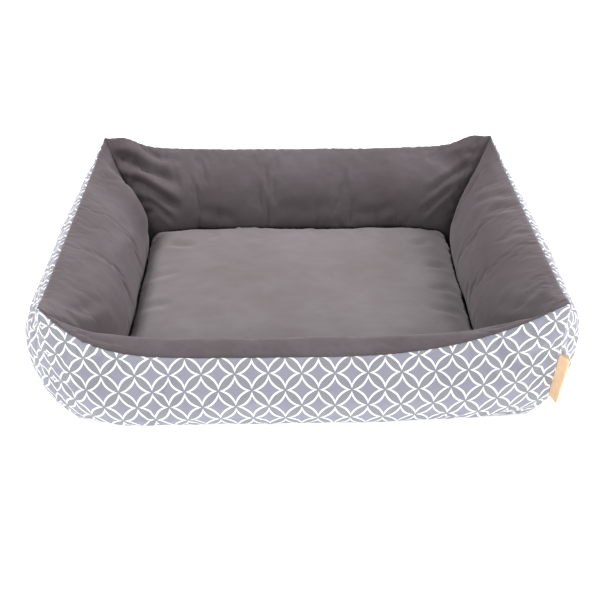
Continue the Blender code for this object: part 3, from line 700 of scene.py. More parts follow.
outer_foot = loop_at(WALL_BASE + 0.0004, True)
DOT_RISE = 0.0006
bottom = ringed_sheet(
    "bottom_cloth", drawn_in(outer_foot, 0.001), DOT_RISE,
    [(0.0, 0.0010), (0.0008, 0.0015), (HEM_WIDTH, 0.0015), (HEM_WIDTH + 0.002, 0.0014), (0.02, 0.0014)],
    lambda ring: np.zeros(len(ring)),
)
bottom.data.materials.append(non_slip_cloth("black_non_slip_cloth"))


def fed(tree_name, inputs):
    """An empty geometry tree with named inputs, their sockets and its output node."""
    tree = bpy.data.node_groups.new(tree_name, "GeometryNodeTree")
    for name, kind in inputs.items():
        tree.interface.new_socket(name, in_out="INPUT", socket_type="NodeSocket" + kind)
    tree.interface.new_socket("Geometry", in_out="OUTPUT", socket_type="NodeSocketGeometry")
    return tree, tree.nodes.new("NodeGroupInput").outputs, tree.nodes.new("NodeGroupOutput")


def sent_out(tree, shape, material, out_end):
    """Makes a tree's instances real, gives them their material and sends them out."""
    plain = node(tree, "GeometryNodeRealizeInstances", links={0: shape})
    covered = node(tree, "GeometryNodeSetMaterial", links={"Geometry": plain, "Material": material})
    tree.links.new(covered.outputs[0], out_end.inputs[0])


def made_by(tree, name, values):
    """A plain mesh object that the tree makes from these values."""
    seed = bpy.data.objects.new(name, bpy.data.meshes.new(name))
    bpy.context.scene.collection.objects.link(seed)
    modifier = seed.modifiers.new("made", "NODES")
    modifier.node_group = tree
    for item in tree.interface.items_tree:
        if item.in_out == "INPUT" and item.name in values:
            modifier[item.identifier] = values[item.name]
    result = bpy.data.meshes.new_from_object(seed.evaluated_get(bpy.context.evaluated_depsgraph_get()))
    seed.modifiers.clear()
    seed.data = result
    result.name = name
    return seed


dots, given, out_end = fed(
    "grip_dots",
    {
        "Length": "Float", "Width": "Float", "Dots along": "Int",
        "Dots across": "Int", "Radius": "Float", "Rise": "Float",
        "Rubber": "Material",
    },
)
field = node(
    dots, "GeometryNodeMeshGrid",
    links={
        "Size X": given["Length"], "Size Y": given["Width"],
        "Vertices X": given["Dots along"], "Vertices Y": given["Dots across"],
    },
)
ball = node(
    dots, "GeometryNodeMeshUVSphere", links={"Segments": 10, "Rings": 4, "Radius": given["Radius"]},
)
squat = node(dots, "Math", {"operation": "DIVIDE"}, {0: given["Rise"], 1: given["Radius"]})
pressed = node(dots, "CombineXYZ", links={"X": 1.0, "Y": 1.0, "Z": squat})
pad_dot = node(dots, "GeometryNodeTransform", links={"Geometry": ball, "Scale": pressed})
spread = node(dots, "GeometryNodeInstanceOnPoints", links={"Points": field, "Instance": pad_dot})
lifted = node(dots, "CombineXYZ", links={"Z": given["Rise"]})
raised_dots = node(dots, "GeometryNodeTransform", links={"Geometry": spread, "Translation": lifted})
sent_out(dots, raised_dots, given["Rubber"], out_end)

grip = made_by(
    dots, "grip_dots",
    {
        "Length": 0.62, "Width": 0.47, "Dots along": 32, "Dots across": 25, "Radius": 0.002,
        "Rise": DOT_RISE, "Rubber": soft_rubber("soft_grip_rubber"),
    },
)
grip.data.shade_smooth()
for piece in (bottom, grip):
    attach(piece, "bed")
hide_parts("bottom_panel")

# ---- The nest's floor ----------------------------------------------------------------------------
# An 8 mm foam sheet lies on the bottom panel between the walls. A suede lining, sewn in with the
# walls' inner feet, covers it. Both are seen when the cushion is lifted out.
PAD_TOP = 0.0098
LINING_LOW = 0.0101
LINING_HIGH = 0.0113


def open_foam(name):
    """Cut foam sheet: cream and matt, with cells of 1.4 mm, about twice as coarse as they are."""
    made, tree, place = new_finish(name)
    cells = node(tree, "TexVoronoi", links={"Vector": place, "Scale": 700.0})
    ramp = node(
        tree, "ValToRGB", {"stops": [(0, "#c9c2ae"), (1, "#e0dac8")]}, {0: cells.outputs["Distance"]},
    )
    bump = node(
        tree, "Bump", links={"Height": cells.outputs["Distance"], "Strength": 0.5, "Distance": 0.0006},
    )
    return finished(made, {"Base Color": ramp, "Roughness": 0.95, "Normal": bump})


nest_low = loop_at(WALL_BASE + 0.004, False)
nest_high = loop_at(LINING_LOW, False)


def gentle(ring):
    """Low waves of the lining over its pad."""
    return np.array([0.0006 * noise.noise((x * 9, y * 9, 0.4)) - 0.0003 for x, y in ring])


pad = ringed_sheet(
    "floor_foam", drawn_in(nest_low, 0.003), WALL_BASE,
    [
        (0.0, WALL_BASE + 0.003), (0.0008, PAD_TOP - 0.0022), (0.003, PAD_TOP - 0.0007), (0.007, PAD_TOP),
        (0.02, PAD_TOP),
    ],
    lambda ring: np.zeros(len(ring)),
)
pad.data.materials.append(open_foam("cut_foam_sheet"))
floor_suede = ringed_sheet(
    "floor_suede", drawn_in(nest_high, 0.0008), LINING_LOW,
    [
        (0.0, LINING_LOW + 0.0006), (0.0010, LINING_HIGH), (0.004, LINING_HIGH - 0.0003),
        (0.02, LINING_HIGH),
    ],
    gentle,
)
floor_suede.data.materials.append(suede)
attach(pad, "bed")
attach(floor_suede, "bed")
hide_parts("floor_pad")
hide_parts("floor_lining")

# ---- The leather tab -----------------------------------------------------------------------------
# A strip of light tan cowhide, 1.4 mm thick, folded in two and caught in the front right corner seam
# by both ends. Its cut edges are left raw; a row of cream thread holds the two plies at the root.
TAB_HEIGHT = 0.074
TAB_REACH = 0.019
TAB_PLY = 0.0014
TAB_GAP = 0.0004
# The seam presses the plies together at the root, which also leaves the tab room to bend
ROOT_PINCH = 0.5

flex = next(j for j in frame["joints"] if j["name"] == "tab_flex")
TAB_ROOT = np.array(flex["pos_m"], float)
TAB_UP = np.array(flex["axis"], float)
TAB_OUT = np.array([1.0, -1.0, 0.0]) - TAB_UP * (TAB_UP @ np.array([1.0, -1.0, 0.0]))
TAB_OUT /= np.linalg.norm(TAB_OUT)
TAB_ACROSS = np.cross(TAB_UP, TAB_OUT)


def tan_leather(name):
    """Aniline cowhide: fine pores 0.6 mm apart, drawn a little coarse, and a soft satin gloss."""
    made, tree, place = new_finish(name)
    pores = node(tree, "TexVoronoi", {"feature": "F1"}, {"Vector": place, "Scale": 1100.0})
    cloud = node(
        tree, "TexNoise", links={"Vector": place, "Scale": 60.0, "Detail": 4.0, "Roughness": 0.6},
    )
    ramp = node(tree, "ValToRGB", {"stops": [(0.3, "#d3ae86"), (0.7, "#e0c29c")]}, {0: cloud})
    shine = node(tree, "MapRange", links={"Value": cloud, "To Min": 0.42, "To Max": 0.58})
    bump = node(
        tree, "Bump", links={"Height": pores.outputs["Distance"], "Strength": 0.25, "Distance": 0.0003},
    )
    return finished(made, {"Base Color": ramp, "Roughness": shine, "Normal": bump})


def cotton_thread(name, colour):
    """Spun cotton thread: matt, with its plies' twist showing as a slant."""
    made, tree, place = new_finish(name)
    twist = node(tree, "TexWave", {"bands_direction": "DIAGONAL"}, {"Vector": place, "Scale": 600.0})
    bump = node(tree, "Bump", links={"Height": twist, "Strength": 0.4, "Distance": 0.0002})
    return finished(made, {"Base Color": linear(colour), "Roughness": 0.75, "Normal": bump})


def round_edges(piece, width, segments):
    """Takes the sharpness off a piece's edges."""
    modifier = piece.modifiers.new("rounded_edges", "BEVEL")
    modifier.width = width
    modifier.segments = segments
    modifier.limit_method = "ANGLE"


def tab_place(points):
    """Points of the tab's own frame, out from its root, across and up, put on the bed. The strip curls
    a little towards the front as it runs out."""
    out, across, up = points[:, 0], points[:, 1], points[:, 2]
    curl = -0.0032 * (np.clip(out, 0, None) / TAB_REACH) ** 2
    twist = -0.0026 * (out / TAB_REACH) * (1 - up / (TAB_HEIGHT / 2))
    across = across + curl + twist
    return TAB_ROOT + np.outer(out, TAB_OUT) + np.outer(across, TAB_ACROSS) + np.outer(up, TAB_UP)


def fold_line(radius, bend, steps=14):
    """Half round the fold and straight back to the root, at that distance from the strip's middle."""
    run = np.linspace(0.0, bend, 18)
    turn = np.linspace(math.pi / 2, -math.pi / 2, steps)
    arc = np.stack([bend + radius * np.cos(turn), radius * np.sin(turn)], axis=1)
    near = np.stack([run, np.full(18, radius)], axis=1)
    far = np.stack([run[::-1], np.full(18, -radius)], axis=1)
    line = np.vstack([near[:-1], arc, far[1:]])
    line[:, 1] *= 1 - ROOT_PINCH * np.exp(-((line[:, 0] / 0.0026) ** 2))
    return line


tab_bend = TAB_REACH - 2 * (TAB_PLY + TAB_GAP / 2)
outer_line = fold_line(TAB_PLY + TAB_GAP / 2, tab_bend)
inner_line = fold_line(TAB_GAP / 2, tab_bend)
pillow = 1 + 0.35 * np.exp(-(((outer_line[:, :1] - tab_bend) / 0.004) ** 2))
outer_line = outer_line * np.hstack([np.ones_like(pillow), pillow])
levels = np.linspace(-TAB_HEIGHT / 2, TAB_HEIGHT / 2, 25)
line_count = len(outer_line)
tab_points = np.vstack(
    [np.column_stack([line, np.full(line_count, z)]) for line in (outer_line, inner_line) for z in levels]
)
grid_index = np.arange(len(tab_points)).reshape(2, len(levels), line_count)
tab_faces = []
for skin, other in ((0, False), (1, True)):
    faces = quads(grid_index[skin])
    tab_faces += (faces[:, ::-1] if other else faces).tolist()
both_skins = grid_index.transpose(1, 2, 0)
for edge, flip in (
    (both_skins[0], 0), (both_skins[-1], 1), (both_skins[:, 0], 1), (both_skins[:, -1], 0),
):
    faces = quads(edge)
    tab_faces += (faces[:, ::-1] if flip else faces).tolist()
tab = smooth_object("folded_tab", tab_place(tab_points).tolist(), tab_faces)
tab.data.materials.append(tan_leather("tan_cowhide"))
round_edges(tab, 0.0003, 2)

stitch_row, given, out_end = fed(
    "stitch_row",
    {
        "Start": "Vector", "End": "Vector", "Stitches": "Int",
        "Stitch length": "Float", "Thread radius": "Float", "Thread": "Material",
    },
)
path = node(
    stitch_row, "GeometryNodeCurvePrimitiveLine", links={"Start": given["Start"], "End": given["End"]},
)
marks = node(stitch_row, "GeometryNodeCurveToPoints", links={"Curve": path, "Count": given["Stitches"]})
strand = node(
    stitch_row, "GeometryNodeMeshUVSphere", links={
        "Segments": 8, "Rings": 6, "Radius": given["Thread radius"],
    },
)
stitch_sizes = {0: given["Stitch length"], 1: given["Thread radius"]}
long_share = node(stitch_row, "Math", {"operation": "DIVIDE"}, stitch_sizes)
half_long = node(stitch_row, "Math", {"operation": "MULTIPLY"}, {0: long_share, 1: 0.5})
stretched = node(stitch_row, "CombineXYZ", links={"X": 1.0, "Y": 1.0, "Z": half_long})
one_stitch = node(stitch_row, "GeometryNodeTransform", links={"Geometry": strand, "Scale": stretched})
sewn_row = node(
    stitch_row, "GeometryNodeInstanceOnPoints",
    links={
        "Points": marks.outputs["Points"], "Instance": one_stitch, "Rotation": marks.outputs["Rotation"],
    },
)
sent_out(stitch_row, sewn_row, given["Thread"], out_end)

tab_thread = cotton_thread("cream_cotton_thread", "#d8c7a6")
for number, face_side in ((1, -1), (2, 1)):
    ends = tab_place(
        np.array(
            [
                [0.0034, face_side * 0.0018, -TAB_HEIGHT / 2 + 0.003],
                [0.0034, face_side * 0.0018, TAB_HEIGHT / 2 - 0.003],
            ]
        )
    )
    row = made_by(
        stitch_row, f"tab_stitches_{number}",
        {
            "Start": ends[0].tolist(), "End": ends[1].tolist(), "Stitches": 21, "Stitch length": 0.0024,
            "Thread radius": 0.00032, "Thread": tab_thread,
        },
    )
    row.data.shade_smooth()
    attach(row, "tab")
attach(tab, "tab")
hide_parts("leather_tab")

# ---- The cushion's covers ------------------------------------------------------------------------
# A loose cushion fills the nest. Its top is the same suede, its underside the printed cotton, sewn
# together round the edge. It is filled full, so its edges roll over and pucker along the seam.
TOP_LOW, TOP_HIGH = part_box("cushion_top_cover")
UNDER_LOW, UNDER_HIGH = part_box("cushion_bottom_cover")
SEAM_Z = (TOP_LOW.z + UNDER_HIGH.z) / 2
HALF_LENGTH, HALF_DEPTH = TOP_HIGH.x, TOP_HIGH.y
CORNER_ROUND = 0.018
COVER_CELLS = 96
ROLL = 0.034
SEAM_GAP = 0.0002
BULGE_LENGTH, BULGE_DEPTH = 0.0025, 0.0125
BULGE_HEIGHT = 0.020
ZIP_HALF = 0.2045
ZIP_SLOT = 0.0056
# Past each end of the zip the seam sinks by this much, so that the pull can lie there
PULL_ROOM = 0.0050
CUSHION_PRESSURE, CUSHION_CAP = 3.0, 0.004


def cover_grid(rise, beside=0.0, before=0.0):
    """One cover as a square grid laid over a crowned, rounded rectangle, down to the edge seam. Heights
    are above the seam; beside and before are the shares they lose towards the ends and the front."""
    straight = np.array([HALF_LENGTH - CORNER_ROUND, HALF_DEPTH - CORNER_ROUND])
    half = np.array([HALF_LENGTH, HALF_DEPTH])
    line = np.linspace(-1, 1, COVER_CELLS + 1)
    u, v = np.meshgrid(line, line, indexing="ij")
    ring = np.maximum(np.abs(u), np.abs(v))
    edge = np.stack([u, v], axis=2) / np.maximum(ring, 1e-9)[:, :, None]
    border = edge * half
    over = np.clip((np.abs(border) - straight) / CORNER_ROUND, 0, 1)
    p, q = over[:, :, 0], over[:, :, 1]
    round_x = np.sign(border[:, :, 0]) * (straight[0] + CORNER_ROUND * p * np.sqrt(1 - q * q / 2))
    round_y = np.sign(border[:, :, 1]) * (straight[1] + CORNER_ROUND * q * np.sqrt(1 - p * p / 2))
    both = (p > 0) & (q > 0)
    border = np.stack(
        [np.where(both, round_x, border[:, :, 0]), np.where(both, round_y, border[:, :, 1])], axis=2,
    )

    turn = np.linspace(0, math.pi / 2, 200)
    profile = np.stack([ROLL * (1 - np.cos(turn) ** 0.9), rise * np.sin(turn) ** 0.72], axis=1)
    run = run_along(profile)
    outer_rings = 0.34
    down = np.clip((1 - ring) / outer_rings, 0, 1) * run[-1]
    inset = np.interp(down, run, profile[:, 0])
    height = np.interp(down, run, profile[:, 1])
    inner = np.clip(ring / (1 - outer_rings), 0, 1)[:, :, None]
    scale = np.where(inner < 1, inner * (half - ROLL) / half, (half - inset[:, :, None]) / half)
    flat = border * scale
    crown = np.clip(1 - (flat[:, :, 0] / HALF_LENGTH) ** 2, 0, 1) * np.clip(
        1 - (flat[:, :, 1] / HALF_DEPTH) ** 2, 0, 1,
    )
    height = height * (0.93 + 0.07 * crown)
    towards_end = np.clip((np.abs(flat[:, :, 0]) / HALF_LENGTH - 0.70) / 0.30, 0, 1) ** 1.7
    towards_front = np.clip((-flat[:, :, 1] / HALF_DEPTH - 0.66) / 0.34, 0, 1) ** 1.7
    height = height * (1 - beside * towards_end) * (1 - before * towards_front)
    reach = np.array([BULGE_LENGTH, BULGE_DEPTH]) * edge**2
    swing = np.sin(np.clip(height / BULGE_HEIGHT, 0, 2) * math.pi / 2)[:, :, None]
    full = np.clip((ring - 0.62) / 0.1, 0, 1)[:, :, None]
    flat = flat + np.sign(flat) * reach * np.where(height[:, :, None] < BULGE_HEIGHT, swing, 1.0) * full
    return np.concatenate([flat, height[:, :, None]], axis=2), ring


def upward(grid):
    """The grid's unit normals, turned so that they point up at its middle."""
    out = normals(grid)
    return out * np.sign(out[len(out) // 2, len(out) // 2, 2])


def zip_clear(grid, lift):
    """Leaves the slot for the zip: the cover's rear edge stops short of the seam beside it."""
    near_edge = np.exp(-((grid[:, :, 2] / 0.010) ** 2)) * (grid[:, :, 1] > HALF_DEPTH - 0.02)
    beside = np.clip((ZIP_HALF + 0.006 - np.abs(grid[:, :, 0])) / 0.006, 0, 1)
    beyond = np.exp(-(((np.abs(grid[:, :, 0]) - ZIP_HALF - 0.012) / 0.013) ** 2))
    grid = grid.copy()
    grid[:, :, 2] += lift * near_edge * beside
    grid[:, :, 1] -= PULL_ROOM * near_edge * beyond * (1 - beside)
    return grid


# Folds of the top cover. Points are in plan, from the middle of the cushion
CUSHION_FOLDS = [
    (255, 70, 232, 62, 205, 60, 9, 3.4), (258, -4, 232, -14, 200, -16, 10, 3.4),
    (256, -88, 226, -80, 190, -82, 10, 3), (236, 160, 215, 140, 188, 128, 9, 3.2),
    (-236, 160, -210, 138, -176, 126, 9, 3), (-258, 40, -230, 36, -198, 44, 10, 2.6),
    (-258, -60, -230, -56, -200, -64, 10, 2.6), (110, 196, 104, 172, 112, 146, 10, 2.6),
    (-70, 196, -66, 170, -76, 146, 11, 2.6), (20, 196, 28, 176, 22, 156, 9, 2),
    (-160, 196, -152, 172, -158, 150, 9, 2.2),
]

top_grid, ring = cover_grid(TOP_HIGH.z - SEAM_Z - 0.0015, beside=0.46, before=0.38)
top_grid = zip_clear(top_grid, ZIP_SLOT)
held = np.clip((ring - 0.97) / 0.02, 0, 1)
held = np.maximum(
    held, np.exp(-((top_grid[:, :, 2] / 0.012) ** 2)) * (top_grid[:, :, 1] > HALF_DEPTH - 0.02),
)
slack = np.clip(0.25 + 0.8 * np.clip((ring - 0.55) / 0.3, 0, 1) + 0.3 * lumps(top_grid, 0.06, 7.7), 0, 1)
top_grid = swell("cushion_blank", top_grid, held, slack, CUSHION_PRESSURE, CUSHION_CAP)
top_grid = finer(top_grid)
out = upward(top_grid)
for path, width, depth in creases(CUSHION_FOLDS):
    top_grid = fold(top_grid, out, top_grid[:, :, 0], top_grid[:, :, 1], path, width, depth, taper=0.35)
edge_near = np.exp(-(((top_grid[:, :, 2] - 0.006) / 0.008) ** 2))
girth = top_grid * (1, 1, 0)
rise = 0.0016 * lumps(girth, 0.060, 4.4) + 0.0010 * lumps(girth, 0.030, 9.9)
rise += 0.0009 * edge_near * lumps(girth, 0.0085, 1.8)
fine_ring = finer(ring[:, :, None])[:, :, 0]
free = np.clip((1 - fine_ring) / 0.04, 0, 1)
top_grid = top_grid + out * (rise * free)[:, :, None]
top_grid[:, :, 2] += SEAM_Z + SEAM_GAP
top_cover = cloth_mesh("cushion_top", top_grid, top_grid[:, :, :2])
# The top's suede is a lighter copy of the walls' suede. The extra lightness is painted light, because the
# top faces up to the lamps.
top_cover.data.materials.append(
    brushed_suede("micro_suede_painted_lighter_top", "#67605f", "#6d6769", "#746e71")
)
thicken(top_cover, SUEDE_THICKNESS)

under_grid, ring = cover_grid(SEAM_Z - UNDER_LOW.z - 0.0008)
under_grid = zip_clear(under_grid, ZIP_SLOT)
out = upward(under_grid)
edge_near = np.exp(-(((under_grid[:, :, 2] - 0.006) / 0.008) ** 2))
girth = under_grid * (1, 1, 0)
rise = 0.0012 * edge_near * lumps(girth, 0.011, 1.8) * np.clip((1 - ring) / 0.04, 0, 1)
under_grid = under_grid + out * rise[:, :, None]
under_grid[:, :, 2] = SEAM_Z - SEAM_GAP - under_grid[:, :, 2]
fall, side_run = run_along(under_grid, axis=1), run_along(under_grid, axis=0)
centre = COVER_CELLS // 2
fall = fall - fall[:, centre : centre + 1]
side_run = side_run - side_run[centre : centre + 1]
under_cover = cloth_mesh("cushion_underside", under_grid, np.stack([side_run, fall], axis=2), flip=True)
under_cover.data.materials.append(cotton)
thicken(under_cover, COTTON_THICKNESS)

for piece, cad_node, slot in (
    (top_cover, "cushion_top_cover", "grey_suede"),
    (under_cover, "cushion_bottom_cover", "printed_cotton"),
):
    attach(piece, "cushion")
    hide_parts(cad_node)

# ---- The cushion's stuffing ----------------------------------------------------------------------
# Loose polyester fibre in its own bag, a little smaller than the covers, clear of the zip's channel.
STUFFING_GAP = 0.005


def stuffing_half(grid, up):
    """A coarse copy of one cover, drawn in all round."""
    small = grid[::8, ::8].copy() if up else grid[::4, ::4].copy()
    small[:, :, 0] *= 1 - STUFFING_GAP / HALF_LENGTH
    small[:, :, 1] *= 1 - (STUFFING_GAP + 0.003) / HALF_DEPTH
    away = small[:, :, 2] - SEAM_Z
    small[:, :, 2] = SEAM_Z + np.sign(away) * np.clip(np.abs(away) - 0.0032, 0.0003, None)
    return small


halves = [stuffing_half(top_grid, True), stuffing_half(under_grid, False)]
side_count = halves[0].shape[0]
square = np.arange(side_count**2).reshape(side_count, side_count)
one_side = quads(square)
border = np.concatenate([square[:-1, 0], square[-1, :-1], square[1:, -1][::-1], square[0, 1:][::-1]])
after = np.roll(border, -1)
total = side_count**2
walls_round = np.stack([after, border, border + total, after + total], axis=1)
cushion_stuffing = smooth_object(
    "cushion_stuffing", np.vstack([h.reshape(-1, 3) for h in halves]).tolist(),
    one_side.tolist() + (one_side[:, ::-1] + total).tolist() + walls_round.tolist(),
)
cushion_stuffing.data.materials.append(fibre)
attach(cushion_stuffing, "cushion")
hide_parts("cushion_filling")

# ---- The zip -------------------------------------------------------------------------------------
# A nylon coil zip lies in the cushion's rear edge: two coils woven to two polyester tapes, a metal
# stop at each end, and a nickel-plated slider with a flat pull on its bridge.
COIL_LOW, COIL_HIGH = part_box("zip_coil_upper")
COIL_LENGTH = COIL_HIGH.x - COIL_LOW.x
COIL_PITCH = 0.0020


def matt_nylon(name):
    """Dyed nylon wire: half matt, with a trace of dust."""
    made, tree, place = new_finish(name)
    dust = node(tree, "TexNoise", links={"Vector": place, "Scale": 400.0, "Detail": 2.0})
    ramp = node(tree, "ValToRGB", {"stops": [(0, "#55514f"), (1, "#66615f")]}, {0: dust})
    return finished(made, {"Base Color": ramp, "Roughness": 0.38})


def woven_tape(name):
    """Woven polyester tape: matt, with ribs of 1.2 mm across it."""
    made, tree, place = new_finish(name)
    rib = node(
        tree, "TexWave", {"bands_direction": "X"}, {"Vector": place, "Scale": 260.0, "Distortion": 0.5},
    )
    ramp = node(tree, "ValToRGB", {"stops": [(0, "#5c5756"), (1, "#6c6665")]}, {0: rib})
    bump = node(tree, "Bump", links={"Height": rib, "Strength": 0.5, "Distance": 0.0003})
    return finished(made, {"Base Color": ramp, "Roughness": 0.85, "Normal": bump})


def nickel_plate(name):
    """Nickel plate on cast zinc: bright, with fine wear that varies its gloss."""
    made, tree, place = new_finish(name)
    wear = node(tree, "TexNoise", links={"Vector": place, "Scale": 700.0, "Detail": 4.0})
    rough = node(tree, "MapRange", links={"Value": wear, "To Min": 0.2, "To Max": 0.42})
    ramp = node(tree, "ValToRGB", {"stops": [(0, "#b9b5ac"), (1, "#d3d0c8")]}, {0: wear})
    bump = node(tree, "Bump", links={"Height": wear, "Strength": 0.1, "Distance": 0.0001})
    return finished(made, {"Base Color": ramp, "Metallic": 1.0, "Roughness": rough, "Normal": bump})


nylon, tape_weave, nickel = matt_nylon("dyed_nylon_coil"), woven_tape(
    "woven_polyester_tape"
), nickel_plate("nickel_plated_zinc")

coil, given, out_end = fed(
    "nylon_coil",
    {
        "Length": "Float", "Turns": "Float", "Half height": "Float",
        "Half depth": "Float", "Wire radius": "Float", "Centre": "Vector",
        "Nylon": "Material",
    },
)
winding = node(
    coil, "GeometryNodeCurveSpiral",
    links={
        "Resolution": 8, "Rotations": given["Turns"], "Start Radius": 1.0, "End Radius": 1.0,
        "Height": given["Length"],
    },
)
flatten = node(coil, "CombineXYZ", links={"X": given["Half height"], "Y": given["Half depth"], "Z": 1.0})
flat_winding = node(coil, "GeometryNodeTransform", links={"Geometry": winding, "Scale": flatten})
wire_round = node(
    coil, "GeometryNodeCurvePrimitiveCircle", links={"Resolution": 6, "Radius": given["Wire radius"]},
)
tube = node(
    coil, "GeometryNodeCurveToMesh",
    links={"Curve": flat_winding, "Profile Curve": wire_round, "Fill Caps": True},
)
laid = node(
    coil, "GeometryNodeTransform",
    links={"Geometry": tube, "Rotation": (0.0, math.pi / 2, 0.0), "Translation": given["Centre"]},
)
sent_out(coil, laid, given["Nylon"], out_end)

WIRE = 0.00036
for level in ("upper", "lower"):
    low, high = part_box(f"zip_coil_{level}")
    middle = (low + high) / 2
    wound = made_by(
        coil, f"coil_{level}",
        {
            "Length": COIL_LENGTH - 0.001, "Turns": round(COIL_LENGTH / COIL_PITCH),
            "Half height": (high.z - low.z) / 2 - WIRE, "Half depth": (high.y - low.y) / 2 - WIRE,
            "Wire radius": WIRE, "Centre": (low.x + 0.0005, middle.y, middle.z), "Nylon": nylon,
        },
    )
    wound.data.shade_smooth()
    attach(wound, "cushion")
    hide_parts(f"zip_coil_{level}")

TAPE_DEEP = 0.0105
TAPE_THICKNESS = 0.0007

for level, away in (("upper", 1), ("lower", -1)):
    low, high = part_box(f"zip_tape_{level}")
    start = low.z if away > 0 else high.z
    along = np.linspace(low.x, high.x, 120)
    rows = np.linspace(0, 1, 7)
    tape_grid = np.array(
        [[[x, (low.y + high.y) / 2 + 0.0003, start + away * t * TAPE_DEEP] for t in rows] for x in along]
    )
    tape_grid[:, :, 1] += 0.00012 * lumps(tape_grid, 0.012, 6.2)
    tape = cloth_mesh(f"tape_{level}", tape_grid, flip=away > 0)
    tape.data.materials.append(tape_weave)
    thicken(tape, TAPE_THICKNESS)
    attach(tape, "cushion")
    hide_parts(f"zip_tape_{level}")


def cast_metal(name, shapes, bevel):
    """One rounded metal piece from outlines, each (points, inner face, outer face), joined."""
    points, faces = [], []
    for outline, low, high in shapes:
        start = len(points)
        count = len(outline)
        points += [(x, low, z) for x, z in outline] + [(x, high, z) for x, z in outline]
        faces.append(tuple(start + i for i in range(count)))
        faces.append(tuple(start + count + i for i in reversed(range(count))))
        faces += [
            (start + (i + 1) % count, start + i, start + count + i, start + count + (i + 1) % count)
            for i in range(count)
        ]
    made = smooth_object(name, points, faces)
    made.data.materials.append(nickel)
    round_edges(made, bevel, 3)
    return made


def rounded_outline(low_x, high_x, low_z, high_z, corner, steps=5):
    """A rectangle in the XZ plane with round corners, counterclockwise seen from the front."""
    points = []
    for cx, cz, start in (
        (high_x - corner, high_z - corner, 0.0), (low_x + corner, high_z - corner, 0.5),
        (low_x + corner, low_z + corner, 1.0), (high_x - corner, low_z + corner, 1.5),
    ):
        for i in range(steps):
            angle = math.pi * (start + 0.5 * i / (steps - 1))
            points.append((cx + corner * math.cos(angle), cz + corner * math.sin(angle)))
    return points


for end_name in ("left", "right"):
    low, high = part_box(f"zip_stop_{end_name}")
    outline = rounded_outline(low.x, high.x, low.z, high.z, 0.0008)
    stop = cast_metal(f"stop_{end_name}", [(outline, low.y, high.y)], 0.00025)
    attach(stop, "cushion")
    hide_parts(f"zip_stop_{end_name}")

low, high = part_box("zip_slider")
slider_x, slider_half = (low.x + high.x) / 2, (high.z - low.z) / 2
PLATE = 0.0012
plate_out = COIL_HIGH.y + 0.0003
plate_in = COIL_LOW.y - 0.0003
mouth, tail = high.x, low.x
shield = [
    (mouth, 0.62 * slider_half), (mouth - 0.0012, 0.97 * slider_half), (mouth - 0.0040, slider_half),
    (tail + 0.0020, 0.80 * slider_half), (tail, 0.62 * slider_half),
]
shield = shield + [(x, -z) for x, z in reversed(shield)]
shield = [(x, SEAM_Z + z) for x, z in shield]
arch_low = plate_out + PLATE - 0.0002
arch_half, arch_x = 0.0010, 0.0030
arch_high = high.y


def block(left, right, half_high, corner, inner, outer):
    """A block of the slider with round corners, placed from its middle."""
    outline = rounded_outline(
        slider_x + left, slider_x + right, SEAM_Z - half_high, SEAM_Z + half_high, corner,
    )
    return outline, inner, outer


slider = cast_metal(
    "slider_body",
    [
        (shield, plate_out, plate_out + PLATE),
        (shield, plate_in - PLATE, plate_in),
        block(-0.0028, 0.0028, 0.0005, 0.0004, plate_in - 0.0002, plate_out + 0.0002),
        block(-arch_x, 0.0010 - arch_x, arch_half, 0.0004, arch_low, arch_high - 0.0003),
        block(arch_x - 0.0010, arch_x, arch_half, 0.0004, arch_low, arch_high - 0.0003),
        block(-arch_x, arch_x, arch_half, 0.0005, arch_high - 0.0011, arch_high),
    ],
    0.0003,
)
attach(slider, "slider")
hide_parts("zip_slider")

frame["nodes"]["zip_pull"].data.materials.clear()
frame["nodes"]["zip_pull"].data.materials.append(nickel)

# ---- Floor, light and camera ---------------------------------------------------------------------
# A sheet of white paper under soft studio lights: from the right, from above, and low ones all round
# that show the outer panels. The camera looks down on the bed from its front.
scene = bpy.context.scene
WORLD_LIGHT = 0.02
FLOOR_GLOW = 0.55


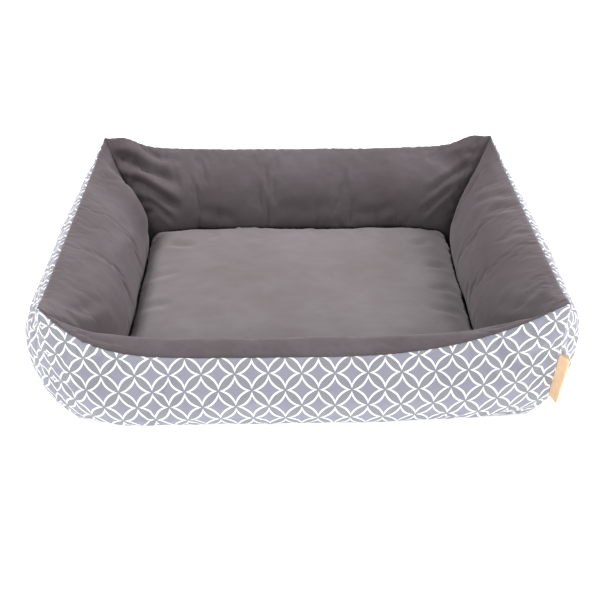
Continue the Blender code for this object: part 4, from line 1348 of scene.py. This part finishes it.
def plain_paper(name):
    """White paper. It glows more away from the bed, so that its far edge meets the backdrop."""
    made, tree, place = new_finish(name)
    distance = node(tree, "VectorMath", {"operation": "LENGTH"}, {0: place}).outputs["Value"]
    glow = node(
        tree, "MapRange",
        links={"Value": distance, "From Min": 1.0, "From Max": 3.5, "To Min": FLOOR_GLOW, "To Max": 1.0},
    )
    return finished(made, {
        "Base Color": linear("#fbfbfb"), "Roughness": 1.0, "Specular IOR Level": 0.0,
        "Emission Color": (1, 1, 1, 1), "Emission Strength": glow,
    })


bpy.ops.mesh.primitive_plane_add(size=60)
floor = bpy.context.object
floor.name = "studio_floor"
floor.data.materials.append(plain_paper("white_paper"))

world = bpy.data.worlds.new("studio")
world.use_nodes = True
world.node_tree.nodes.clear()
seen = node(world.node_tree, "LightPath").outputs["Is Camera Ray"]
power = node(world.node_tree, "MapRange", links={"Value": seen, "To Min": WORLD_LIGHT, "To Max": 1.0})
backdrop = node(world.node_tree, "Background", links={"Color": (1, 1, 1, 1), "Strength": power})
node(world.node_tree, "OutputWorld", links={"Surface": backdrop})
scene.world = world


def soft_light(name, place, size, watts):
    """A square lamp that faces the bed."""
    light = bpy.data.lights.new(name, "AREA")
    light.size = size
    light.energy = watts
    made = bpy.data.objects.new(name, light)
    made.location = place
    made.rotation_euler = (Vector((0, 0, 0.05)) - Vector(place)).to_track_quat("-Z", "Y").to_euler()
    scene.collection.objects.link(made)


soft_light("right", (2.3, 0.2, 1.65), 1.2, 66)
soft_light("right_low", (2.6, -0.1, 0.95), 1.0, 16)
soft_light("high_left", (-1.4, 0.2, 2.2), 0.8, 54)
soft_light("top_rear", (0.0, 1.4, 2.0), 0.8, 20)
soft_light("front", (-0.2, -3.0, 0.6), 1.6, 68)
soft_light("rear_low", (0.2, 3.0, 0.5), 1.6, 40)
soft_light("left_low", (-3.0, 0.0, 0.4), 1.4, 18)

AIM = Vector((-0.0032, -0.1043, 0.1))
camera_data = bpy.data.cameras.new("camera")
camera_data.lens = 58.8
camera_data.sensor_width = 36
camera = bpy.data.objects.new("camera", camera_data)
camera.location = (-0.024231, -1.379306, 0.883790)
camera.rotation_euler = (AIM - camera.location).to_track_quat("-Z", "Y").to_euler()
scene.collection.objects.link(camera)
scene.camera = camera
scene.view_settings.view_transform = "Standard"
